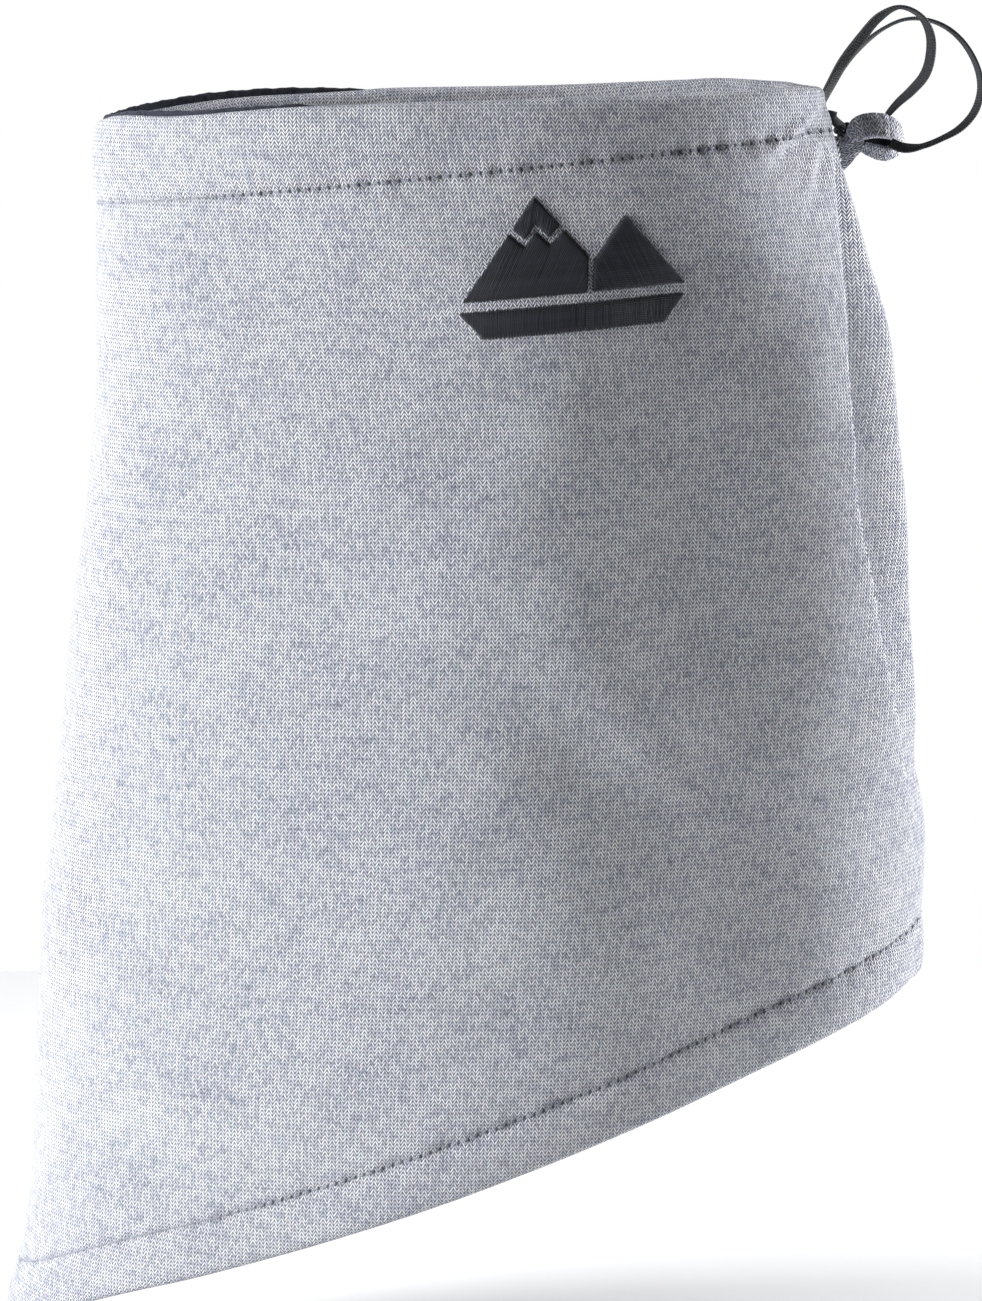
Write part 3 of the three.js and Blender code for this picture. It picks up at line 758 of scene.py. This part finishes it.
def rim_profile(angle, inset):
    """Height of the rolled rim over an inset, from the outer face of the tube inwards."""
    x = np.clip(RIM_HALF_LENGTH * np.cos(angle), -111, 111)
    near = ease(-0.15, 0.15, -np.sin(angle))
    ridge = near * smooth_line(NEAR_RIDGE, x) + (1 - near) * smooth_line(FAR_RIDGE, x)
    # Across the front the lining's dark edge stands in a groove along the top of the roll.
    groove = 1.8 * (1 - ease(-50, -24, x))
    stops = np.array([0, 0.4, 1.2, 2.4, 3.3, 4.4, 5.8, 6.8, CASING_WIDTH])
    drops = [4.4, 2.0, 0.6, 0.0, 0.0, 0.1, 0.9, 2.4, 4.6]
    levels = np.stack([ridge - drop for drop in drops])
    levels[4] -= groove
    place = np.clip(inset, 0, CASING_WIDTH)
    k = np.clip(np.searchsorted(stops, place, side="right") - 1, 0, len(stops) - 2)
    t = (place - stops[k]) / (stops[k + 1] - stops[k])
    before = max(k - 1, 0)
    after = min(k + 2, len(stops) - 1)
    span = stops[k + 1] - stops[k]
    slope_in = (levels[k + 1] - levels[before]) / (stops[k + 1] - stops[before]) * span
    slope_out = (levels[after] - levels[k]) / (stops[after] - stops[k]) * span
    return bend(t, levels[k], levels[k + 1], slope_in, slope_out)


def between(top, bottom, count, inset):
    """Rows down the wall from one height to another, without the last."""
    return [(inset, top + (bottom - top) * i / count) for i in range(count)]


def shell_stations(angle):
    """(inset, height) of every row of the one folded panel, from its hidden edge in the casing,
    over the rim, down the outer face, round the hem and back up inside."""
    seam = casing_seam(angle)
    hem_line = hem_seam(angle)
    fold = hem(angle) + HEM_WIDTH / 2
    inner_face = FACING_INSET + SHELL_THICKNESS
    stations = [(FACING_INSET, seam + 5 - 4 * i) for i in range(2)]
    stations += [(FACING_INSET, seam - FACING_LAP), (inner_face, seam - FACING_LAP)]
    stations += [(inner_face + 0.1, seam - 0.5), (inner_face, seam + 4.5)]
    rim_in = rim_profile(angle, CASING_WIDTH)
    for i in range(1, 6):
        inset = CASING_WIDTH - (CASING_WIDTH - inner_face) * 0.5 ** i
        stations.append((inset, seam + 5 + (rim_in - seam - 5) * i / 6))
    for i in range(25):
        inset = CASING_WIDTH / 2 * (1 + math.cos(math.pi * i / 24))
        stations.append((inset, rim_profile(angle, inset)))
    rim_out = rim_profile(angle, 0)
    stations += between(rim_out, seam, 12, 0)[1:]
    first_outer = len(stations)
    stations += between(seam, seam - 4, 4, 0)
    stations += between(seam - 4, hem_line + 4, 98, 0)
    stations += between(hem_line + 4, hem_line, 4, 0)
    stations += between(hem_line, fold, 11, 0)
    for i in range(9):
        turn = math.pi * i / 8
        stations.append((HEM_WIDTH / 2 * (1 - math.cos(turn)), fold - HEM_WIDTH / 2 * math.sin(turn)))
    stations += between(fold, hem_line + 2, 5, HEM_WIDTH)[1:]
    stations += [(HEM_WIDTH, hem_line + 2), (HEM_WIDTH - SHELL_THICKNESS, hem_line + 2)]
    small = HEM_WIDTH / 2 - SHELL_THICKNESS
    for i in range(5):
        turn = math.pi * i / 4
        stations.append((HEM_WIDTH / 2 + small * math.cos(turn), fold - small * math.sin(turn)))
    stations += between(hem_line, seam, 30, SHELL_THICKNESS)
    stations += between(seam, rim_out - 2.5, 5, SHELL_THICKNESS)
    for i in range(13):
        inset = CASING_WIDTH / 2 - (CASING_WIDTH / 2 - SHELL_THICKNESS) * math.cos(math.pi * i / 12)
        stations.append((inset, rim_profile(angle, inset) - SHELL_THICKNESS - 0.1))
    return stations, first_outer


def make_shell():
    angles = column_angles()
    stations, seam_row = shell_stations(angles)
    insets = np.stack([np.broadcast_to(np.asarray(s[0], float), angles.shape) for s in stations])
    heights = np.stack([np.asarray(s[1], float) for s in stations])
    points = wall(angles[None, :], heights, insets)
    # Knit map: round the tube by length at each height, and down it by length along the cloth.
    wrapped_i = np.vstack([insets, insets[:1]])
    wrapped_h = np.vstack([heights, heights[:1]])
    steps = np.hypot(np.diff(wrapped_i, axis=0), np.diff(wrapped_h, axis=0))
    lengths = np.vstack([np.zeros_like(angles), np.cumsum(steps, axis=0)])
    along = heights[seam_row] + lengths[seam_row] - lengths
    across = np.stack([round_lengths(angles, row) for row in heights])
    across = np.vstack([across, across[:1]])
    knit = np.stack([across, along], axis=-1) * MM
    # Seam map: length along the nearer seam, and distance across it.
    upper, lower = casing_seam(angles), hem_seam(angles)
    nearer_top = np.abs(wrapped_h - upper) < np.abs(wrapped_h - lower)
    on_face = (wrapped_i < 0.05)
    seam_along = np.where(nearer_top, round_lengths(angles, upper), round_lengths(angles, lower))
    seam_gap = np.where(nearer_top, wrapped_h - upper, wrapped_h - lower)
    seam_gap = np.where(on_face, seam_gap, 40)
    seam = np.stack([seam_along, seam_gap], axis=-1) * MM
    obj = grid_object("outer_shell_cloth", points[:, :-1], True, {"Knit": knit, "Seam": seam})
    finish_piece(obj, "knit", "root", ("outer_shell",))
    return obj


def make_lining():
    columns = 300
    angles = SEAM_ANGLE + 2 * math.pi * np.arange(columns) / columns
    top, bottom = casing_seam(angles) + 4.5, hem(angles) + 5
    face = LINING_INSET + LINING_THICKNESS
    pile = 0.12 * np.sin(angles * 431)
    rows = between(top, bottom, 90, LINING_INSET) + [(LINING_INSET, bottom)]
    rows += [((LINING_INSET + face) / 2, bottom - 0.5)]
    rows += [(face + pile, bottom + (top - bottom) * i / 90) for i in range(91)]
    rows += [((LINING_INSET + face) / 2, top + 0.5)]
    insets = np.stack([np.broadcast_to(np.asarray(r[0], float), angles.shape) for r in rows])
    heights = np.stack([np.asarray(r[1], float) for r in rows])
    obj = grid_object("inner_lining_cloth", wall(angles[None, :], heights, insets), True)
    finish_piece(obj, "fleece", "root", ("inner_lining",))
    return obj


def make_lining_edge():
    """The lining's upper edge, which stands out of the rim in its groove across the front."""
    angles = np.linspace(math.radians(98), math.radians(252), 200)
    x = wall(angles, np.full(angles.shape, -3.0))[:, 0]
    near = ease(-0.1, 0.1, -np.sin(angles))
    tops = (near * smooth_line(NEAR_LINING_TOP, np.clip(x, -112, -34))
            + (1 - near) * smooth_line(FAR_LINING_TOP, np.clip(x, -112, -14)))
    tops = tops + 0.12 * np.sin(angles * 61) + 0.08 * np.sin(angles * 143)
    middle = 3.3
    section = [(-0.7, -7.5), (-0.75, -3), (-0.7, -0.8), (-0.35, -0.1), (0, 0.05), (0.35, -0.1), (0.7, -0.8),
               (0.75, -3), (0.7, -7.5)]
    rows = np.stack([wall(angles, tops + up, middle + across) for across, up in section])
    obj = grid_object("lining_edge_cloth", rows, True, wrap_columns=False)
    finish_piece(obj, "fleece", "root", ("lining_edge",))


shell = make_shell()
lining = make_lining()
make_lining_edge()


# ---- Stitching ----

def lay_stitch(pieces, angle, height, inset, lift):
    """One short raised thread, on the outer face where inset is 0 and else on an inner face."""
    side = -1 if inset > 1 else 1
    path = wall(angle, height, inset - side * np.array(lift))
    out = side * outward_at(angle, height)
    outline = round_outline(2 * THREAD_RADIUS, 2 * THREAD_RADIUS, 6)
    pieces.add(*swept(path, out, outline, [0.6, 0.95, 1, 1, 1, 0.95, 0.6]))


def seam_stitches(name, seam, inset, material, nodes):
    """Lockstitches along a seam round the tube, one short raised thread each."""
    angles = column_angles()
    lengths = round_lengths(angles, seam(angles))
    pieces = Pieces()
    first = math.ceil(lengths[0] / STITCH_PITCH)
    last = math.floor(lengths[-1] / STITCH_PITCH)
    for k in range(first, last):
        along = (k + np.array([0.56, 0.68, 0.84, 1.0, 1.16, 1.32, 1.44])) * STITCH_PITCH
        angle = np.interp(along, lengths, angles)
        lay_stitch(pieces, angle, seam(angle), inset, [-0.35, 0.02, 0.2, 0.26, 0.2, 0.02, -0.35])
    finish_piece(pieces.build(name), material, "root", nodes)


def seam_down(name, inset, bottom_gap, material, nodes):
    """The back seam's stitches, down the tube from the casing to the hem."""
    top = float(casing_seam(SEAM_ANGLE)) - 4
    bottom = float(hem_seam(SEAM_ANGLE)) + bottom_gap
    pieces = Pieces()
    angles = np.full(7, SEAM_ANGLE)
    for k in range(int((top - bottom) / STITCH_PITCH)):
        heights = top - (k + np.array([0.06, 0.2, 0.35, 0.5, 0.65, 0.8, 0.94])) * STITCH_PITCH
        lay_stitch(pieces, angles, heights, inset, [-0.3, 0.0, 0.14, 0.2, 0.14, 0.0, -0.3])
    finish_piece(pieces.build(name), material, "root", nodes)


seam_stitches("casing_topstitches", casing_seam, 0, "grey_thread", ("casing_topstitch",))
seam_stitches("hem_topstitches", hem_seam, 0, "grey_thread", ("hem_topstitch",))
seam_stitches("casing_bobbin_stitches", casing_seam, FACING_INSET + SHELL_THICKNESS, "grey_thread",
              ("casing_bobbin_thread",))
seam_stitches("hem_bobbin_stitches", hem_seam, HEM_WIDTH, "grey_thread", ("hem_bobbin_thread",))
seam_down("shell_back_stitches", 0, 1.5, "grey_thread", ("shell_back_seam",))
seam_down("lining_back_stitches", LINING_INSET + LINING_THICKNESS, 4, "black_thread", ("lining_back_seam",))

# ---- Embroidery ----

EMBLEM_X = 32
EMBLEM_HEIGHT = -48
EMBLEM_TURN = math.radians(4.5)
# Each shape's outline about the emblem's centre, and the direction its satin threads run.
EMBLEM = {
    "emblem_snow_cap": ([(-9, 20), (-16.1, 11), (-12.5, 8), (-9, 12), (-5.5, 8), (-1.9, 11)], 76),
    "emblem_tall_peak": ([(-17.2, 9.6), (-32, -9), (4.5, -9), (5.7, 1.4), (-0.8, 9.6), (-5.3, 5.6),
                          (-9, 9.8), (-12.7, 5.6)], 62),
    "emblem_short_peak": ([(17, 12.5), (7.2, 0.2), (6, -9), (34, -9)], 112),
    "emblem_base_bar": ([(-33.5, -12), (-27, -20), (27.5, -20), (34, -12)], 84),
}
SATIN_PITCH = 0.46


def crossings(outline, origin, direction):
    """Pairs of distances along a line where it is inside an outline."""
    found = []
    count = len(outline)
    for i in range(count):
        a = np.array(outline[i]) - origin
        b = np.array(outline[(i + 1) % count]) - origin
        side_a = direction[0] * a[1] - direction[1] * a[0]
        side_b = direction[0] * b[1] - direction[1] * b[0]
        if (side_a > 0) == (side_b > 0):
            continue
        share = side_a / (side_a - side_b)
        found.append(float(np.dot(a + (b - a) * share, direction)))
    found.sort()
    return list(zip(found[::2], found[1::2]))


def on_emblem(flat, lift):
    """Points of the near side of the cloth under flat emblem points, lifted off it."""
    turned_x = flat[:, 0] * math.cos(EMBLEM_TURN) - flat[:, 1] * math.sin(EMBLEM_TURN)
    turned_z = flat[:, 0] * math.sin(EMBLEM_TURN) + flat[:, 1] * math.cos(EMBLEM_TURN)
    height = EMBLEM_HEIGHT + turned_z
    angle = near_angle(EMBLEM_X + turned_x, height)
    out = outward_at(angle, height)
    return wall(angle, height) + out * np.asarray(lift)[:, None], out


def make_emblem():
    random = np.random.default_rng(11)
    section = round_outline(0.62, 0.5, 6)
    for name, (outline, degrees) in EMBLEM.items():
        direction = np.array([math.cos(math.radians(degrees)), math.sin(math.radians(degrees))])
        sideways = np.array([-direction[1], direction[0]])
        reach = [float(np.dot(p, sideways)) for p in outline]
        pieces = Pieces()
        place = min(reach) + 0.2
        while place < max(reach) - 0.1:
            origin = sideways * place
            for start, end in crossings(outline, origin, direction):
                start -= random.uniform(0, 0.28)
                end += random.uniform(0, 0.28)
                if end - start < 0.9:
                    continue
                steps = max(7, int((end - start) / 1.1))
                t = np.linspace(0, 1, steps)
                along = start + (end - start) * t
                sway = random.uniform(-0.07, 0.07) * np.sin(math.pi * t)
                flat = origin + direction * along[:, None] + sideways * sway[:, None]
                edge = np.minimum(along - start, end - along)
                lift = 0.02 + 0.72 * np.sqrt(np.clip(edge / 1.5, 0, 1)) + random.uniform(-0.04, 0.04)
                path, out = on_emblem(flat, lift)
                pieces.add(*swept(path, out, section, 0.55 + 0.45 * np.clip(edge / 0.5, 0, 1)))
            place += SATIN_PITCH
        finish_piece(pieces.build(name + "_satin"), "black_thread", "root", (name,))


def patch_object(name, angles, heights, outer_inset, inner_inset, maps=None):
    """A thin patch that follows the wall between two insets."""
    outer = wall(angles[None, :], heights[:, None], outer_inset)
    inner = wall(angles[None, :], heights[:, None], inner_inset)
    return grid_object(name, np.concatenate([outer, inner[::-1]]), True, maps, wrap_columns=False)


def make_backing():
    angles = np.linspace(math.radians(270), math.radians(307.5), 30)
    heights = np.linspace(-24, -72, 30)
    obj = patch_object("emblem_backing_felt", angles, heights, SHELL_THICKNESS + 0.3, LINING_INSET - 0.3)
    finish_piece(obj, "backing", "root", ("emblem_backing",))


make_emblem()
make_backing()


# ---- The cord in the casing, its way out, and the label ----

def make_casing_cord():
    angles = np.linspace(EXIT_ANGLE + 0.03, EXIT_ANGLE + 2 * math.pi - 0.03, 280)
    x = 110 * np.cos(angles)
    heights = 0.5 + 0.03 * x - CASING_CORD_DROP
    inset = SHELL_THICKNESS + 1.4 + CORD_THICKNESS / 2
    pieces = Pieces()
    pieces.add(*swept(wall(angles, heights, inset), outward_at(angles, heights),
                      round_outline(CORD_WIDTH, CORD_THICKNESS, 12, 4.0)))
    finish_piece(pieces.build("casing_cord"), "elastic", "root", ("drawcord_in_casing",))


def make_buttonhole():
    """Closely set bars of thread round the cord's way out of the casing."""
    pieces = Pieces()
    section = round_outline(0.62, 0.5, 6)
    middle = wall(EXIT_ANGLE, EXIT_HEIGHT)
    out = outward_at(np.array([EXIT_ANGLE]), np.array([EXIT_HEIGHT]))[0]
    across = unit(np.cross([0, 0, 1], out))
    up = np.cross(out, across)
    for k in range(44):
        turn = 2 * math.pi * k / 44
        ray = across * math.cos(turn) + up * math.sin(turn)
        inner = middle + across * math.cos(turn) * 1.9 + up * math.sin(turn) * 2.7
        t = np.linspace(0, 1, 6)[:, None]
        path = inner + ray * t * 1.5 + out * (0.15 + 0.42 * np.sin(math.pi * t))
        pieces.add(*swept(path, np.tile(out, (6, 1)), section))
    finish_piece(pieces.build("cord_exit_stitches"), "grey_thread", "root", ("cord_exit_buttonhole",))


def make_label():
    """A blank woven label, sewn to the lining by its upper edge."""
    angles = np.linspace(0.2618, 0.5236, 16)
    heights = np.linspace(-150, -185, 22)
    inset = LINING_INSET + LINING_THICKNESS + 0.35
    down = np.linspace(0, 1, 22)[:, None]
    curl = 0.9 * down ** 2 * np.sin(np.linspace(0, math.pi, 16))[None, :]
    u, v = np.meshgrid(np.linspace(0, 0.034, 17), np.linspace(0, 0.07, 45))
    maps = {"Thread": np.stack([u, v], axis=-1)}
    obj = patch_object("blank_label", angles, heights, inset + curl, inset + 0.45 + curl, maps)
    finish_piece(obj, "label", "root", ("care_label",))


make_casing_cord()
make_buttonhole()
make_label()


# ---- Keeper, knot and tail ----

# The loop of folded tape: its centreline, and the way its outer face looks, at each point.
KEEPER_TAPE = [
    ((121.9, 9.6, -16.9), (-0.3, -0.9, 0.2)), ((120.4, 8.6, -14.0), (-0.5, -0.8, 0.3)),
    ((121.6, 7.0, -11.6), (-0.3, -0.85, 0.45)), ((125.0, 6.3, -10.6), (-0.05, -0.82, 0.57)),
    ((129.4, 6.9, -10.8), (0.15, -0.8, 0.58)), ((132.9, 9.0, -12.4), (0.55, -0.68, 0.48)),
    ((134.3, 11.2, -15.2), (0.95, -0.3, 0.1)), ((133.2, 11.4, -18.0), (0.62, -0.5, -0.6)),
    ((130.0, 9.8, -19.2), (0.05, -0.72, -0.7)), ((126.3, 9.2, -18.4), (-0.1, -0.8, -0.6)),
    ((123.0, 9.4, -17.2), (-0.1, -0.85, -0.5)),
]
TAPE_WIDTHS = [3.4, 6.4, 8.2, 8.8, 8.6, 7.6, 6.2, 5.8, 5.6, 4.8, 3.4]
TAPE_THICKNESS = 2.0
# The web between the sewn patch and the loop: its two edges, from the shell outwards.
WEB_UPPER = [(113.4, 11.4, -13.8), (116.6, 10.2, -14.2), (120.0, 9.3, -14.9), (122.8, 9.2, -15.9)]
WEB_LOWER = [(117.4, 11.6, -24.6), (119.2, 10.4, -22.6), (121.0, 9.7, -20.3), (123.0, 9.6, -18.2)]
WEB_THICKNESS = 1.9
# The patch sewn on the shell, from its start to its end round the tube, and its bars of thread.
PATCH_START = 0.05
PATCH_END = 0.21
PATCH_TOP = -14.6
PATCH_BOTTOM = -24.4
BARTACKS = {"keeper_upper_bartack": -16.5, "keeper_lower_bartack": -22.5}
KNOT_PLACE = np.array([117.3, 13.0, -12.4])
# The elastic on both sides of the knot.
TIED_ENDS = [(134.4, 12.8, -17.2), (131.0, 12.6, -16.8), (127.4, 12.6, -16.4), (123.6, 13.4, -14.6),
             (119.0, 13.4, -12.6)]
TAIL = [(116.8, 12.0, -11.4), (115.0, 11.4, -9.9), (113.8, 11.0, -8.6), (113.5, 10.8, -7.4),
        (113.7, 10.6, -6.4)]


def make_keeper_loop():
    places, faces = zip(*KEEPER_TAPE)
    path = smooth_path(places, 0.42)
    stops = lengths_along(places)
    share = np.linspace(0, stops[-1], len(path))
    faces_to = points_at(share, stops, faces)
    widths = np.interp(share, stops, TAPE_WIDTHS)
    along = tangents(path)
    out = unit(faces_to - along * np.sum(faces_to * along, axis=1, keepdims=True))
    across = np.cross(along, out)
    outline = round_outline(1.0, TAPE_THICKNESS, 28, 3.2)
    # The folded edges are fuller than the middle, and the tape is a little wrinkled.
    fuller = -0.14 * np.cos(outline[None, :, 0] * 2 * math.pi)
    wrinkle = 0.16 * np.sin(share * 2.1)[:, None] * np.cos(outline[None, :, 0] * 9)
    lift = outline[None, :, 1] + np.sign(outline[None, :, 1]) * (fuller + wrinkle)
    rings = (path[:, None, :] + across[:, None, :] * (widths[:, None] * outline[None, :, 0])[:, :, None]
             + out[:, None, :] * lift[:, :, None])
    u = np.concatenate([outline[:, 0], outline[:1, 0]])[None, :] * widths[:, None]
    v = np.tile(share[:, None], (1, len(outline) + 1))
    maps = {"Knit": np.stack([v, u], axis=-1) * MM}
    obj = grid_object("keeper_loop_tape", rings, False, maps)
    close_ends(obj, len(rings), len(outline))
    finish_piece(obj, "tape", "keeper", ("keeper_loop",))


def close_ends(obj, rows, columns):
    """Closes the first and the last ring of a tube made as a grid."""
    bm = bmesh.new()
    bm.from_mesh(obj.data)
    bm.verts.ensure_lookup_table()
    for ring in (range(columns), range((rows - 1) * columns, rows * columns)):
        bm.faces.new([bm.verts[i] for i in ring])
    bmesh.ops.recalc_face_normals(bm, faces=bm.faces)
    bm.to_mesh(obj.data)
    bm.free()


def make_keeper_web():
    """The end of the tape, gathered from the sewn patch to the foot of the loop."""
    count = 26
    edges = []
    for line in (WEB_UPPER, WEB_LOWER):
        edge = smooth_path(line, 0.35)
        edges.append(points_at(np.linspace(0, 1, count), np.linspace(0, 1, len(edge)), edge))
    upper, lower = edges
    outline = round_outline(1.0, WEB_THICKNESS, 28, 3.0)
    share = (outline[:, 0] + 0.5)[None, :, None]
    pleat = 0.35 * np.sin(np.linspace(0.2, 1, count)[:, None] * 2 + outline[None, :, 0] * 14)
    rings = upper[:, None, :] * share + lower[:, None, :] * (1 - share)
    rings[:, :, 1] += -(outline[None, :, 1]) + pleat * np.linspace(0.2, 1, count)[:, None]
    wide = np.linalg.norm(upper - lower, axis=1)
    u = np.concatenate([outline[:, 0], outline[:1, 0]])[None, :] * wide[:, None]
    v = np.tile(np.linspace(0, 9, count)[:, None], (1, len(outline) + 1))
    obj = grid_object("keeper_web_tape", rings, False, {"Knit": np.stack([u, v], axis=-1) * MM})
    close_ends(obj, count, len(outline))
    finish_piece(obj, "tape", None, ("keeper_web",))
    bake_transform(obj)


def make_keeper_patch():
    """The end of the tape sewn flat on the shell, with a bar of thread across it twice."""
    angles = np.linspace(PATCH_START, PATCH_END, 26)
    heights = np.linspace(PATCH_TOP, PATCH_BOTTOM, 30)
    edge = np.minimum.outer(np.minimum(heights - PATCH_BOTTOM, PATCH_TOP - heights), np.full(26, 9.0))
    side = np.minimum(angles - PATCH_START, PATCH_END - angles) * 110
    edge = np.minimum(edge, side[None, :])
    sunk = 0.55 * sum(np.exp(-((heights[:, None] - bar) / 0.9) ** 2) for bar in BARTACKS.values())
    lift = 0.5 + 1.25 * np.sqrt(np.clip(edge / 1.0, 0, 1)) - sunk
    u, v = np.meshgrid(np.linspace(0, 0.0176, 27), np.concatenate([heights, heights[::-1], heights[:1]]) * MM)
    maps = {"Knit": np.stack([u, v], axis=-1)}
    obj = patch_object("keeper_patch_tape", angles, heights, -lift, -0.15, maps)
    finish_piece(obj, "tape", "root", ("keeper_patch",))
    for name, bar in BARTACKS.items():
        pieces = Pieces()
        section = round_outline(0.5, 0.42, 6)
        for k in range(26):
            angle = 0.062 + (0.198 - 0.062) * k / 25
            height = bar + np.linspace(0.8, -0.8, 5) + 0.08 * math.sin(k * 2.3)
            inset = -1.5 - 0.3 * np.sin(np.linspace(0, math.pi, 5))
            path = wall(angle + np.linspace(-0.0018, 0.0018, 5), height, inset)
            pieces.add(*swept(path, outward_at(np.full(5, angle), height), section))
        finish_piece(pieces.build(name + "_threads"), "grey_thread", "root", (name,))


def make_knot():
    """The cord's two ends: out of the eye, tied in an overhand knot, and cut off short."""
    turn = np.linspace(0, 2 * math.pi, 90)
    trefoil = np.stack([np.sin(turn) + 2 * np.sin(2 * turn), -1.35 * np.sin(3 * turn),
                        np.cos(turn) - 2 * np.cos(2 * turn)], axis=-1)
    path = KNOT_PLACE + trefoil * np.array([0.82, 1.0, 0.72])
    lean = unit(path - KNOT_PLACE)
    pieces = Pieces()
    pieces.add(*swept(path, lean, round_outline(2.5, 1.3, 12, 3.0)))
    finish_piece(pieces.build("drawcord_knot_turns"), "elastic", "keeper", ("drawcord_knot",))
    for name, points, twists, width in (("drawcord_tied_ends", TIED_ENDS, [0, 0, 5, 10, 20], 4.6),
                                        ("drawcord_tail", TAIL, [20, 15, 10, 5, 10], 2.9)):
        flat_strand(name + "_strip", points, twists, width, 1.4, (name,), "keeper", 0.5)


# The hidden stretches of the elastic: from inside the casing up into each free strand.
ROOT_WIDTH = 3.2
ROOT_THICKNESS = 0.8
# Where the inner strand turns into the keeper's eye and meets the tied ends.
INNER_RETURN = [(129.75, 17.75, -12.2), (129.6, 17.6, -12.8), (129.2, 16.9, -14.3), (128.5, 15.7, -15.6),
                (127.5, 14.3, -16.3), (126.1, 13.3, -16.3), (124.6, 13.1, -15.3)]
INNER_RETURN_TWIST = [84, 84, 76, 60, 40, 20, 8]


def make_hidden_elastic():
    """The stretches that hold the free strands at both ends. Those at the casing are attached to no body."""
    inside = wall(EXIT_ANGLE, EXIT_HEIGHT, 2.6)
    hole = wall(EXIT_ANGLE, EXIT_HEIGHT)
    for name, strand in (("drawcord_inner_root", INNER_STRAND), ("drawcord_outer_root", OUTER_STRAND)):
        start, after = np.array(strand[:2], float)
        points = [inside, hole, start, start + 0.25 * (after - start)]
        obj, _ = flat_strand(name, points, [58] * 4, ROOT_WIDTH, ROOT_THICKNESS, (), None, 0.3)
        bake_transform(obj)
    flat_strand("drawcord_inner_return", INNER_RETURN, INNER_RETURN_TWIST, ROOT_WIDTH, ROOT_THICKNESS, (),
                "keeper", 0.4)


make_keeper_patch()
make_keeper_web()
make_keeper_loop()
make_knot()
make_hidden_elastic()

# ---- Studio ----


def area_light(name, place, target, size, size_y, power, color):
    data = bpy.data.lights.new(name, "AREA")
    data.shape = "RECTANGLE"
    data.size = size
    data.size_y = size_y
    data.energy = power
    data.color = color
    light = bpy.data.objects.new(name, data)
    light.location = place
    light.rotation_euler = (Vector(target) - Vector(place)).to_track_quat("-Z", "Y").to_euler()
    bpy.context.scene.collection.objects.link(light)


def make_studio():
    bpy.ops.mesh.primitive_plane_add(size=1.1, location=(0, 0, -0.405))
    floor = bpy.context.object
    floor.name = "floor"
    floor.data.materials.append(floor_finish("pale_floor"))
    world = bpy.data.worlds.new("studio")
    world.use_nodes = True
    tree = world.node_tree
    background = tree.nodes["Background"]
    background.inputs["Color"].default_value = (1.0, 1.0, 1.0, 1.0)
    # The backdrop is white to the camera, and lights the object only a little.
    path = tree.nodes.new("ShaderNodeLightPath")
    level = tree.nodes.new("ShaderNodeMapRange")
    level.inputs["To Min"].default_value = 0.08
    level.inputs["To Max"].default_value = 1.0
    tree.links.new(path.outputs["Is Camera Ray"], level.inputs["Value"])
    tree.links.new(level.outputs["Result"], background.inputs["Strength"])
    bpy.context.scene.world = world
    area_light("key_left", (-1.40, -0.46, 0.10), (-0.05, 0, -0.2), 0.8, 1.5, 61, (0.98, 0.987, 1.0))
    area_light("edge_right", (1.23, 0.35, 0.05), (0.1, 0, -0.17), 0.4, 1.4, 42, (0.99, 0.995, 1.0))
    bpy.context.scene.view_settings.view_transform = "Standard"


make_studio()
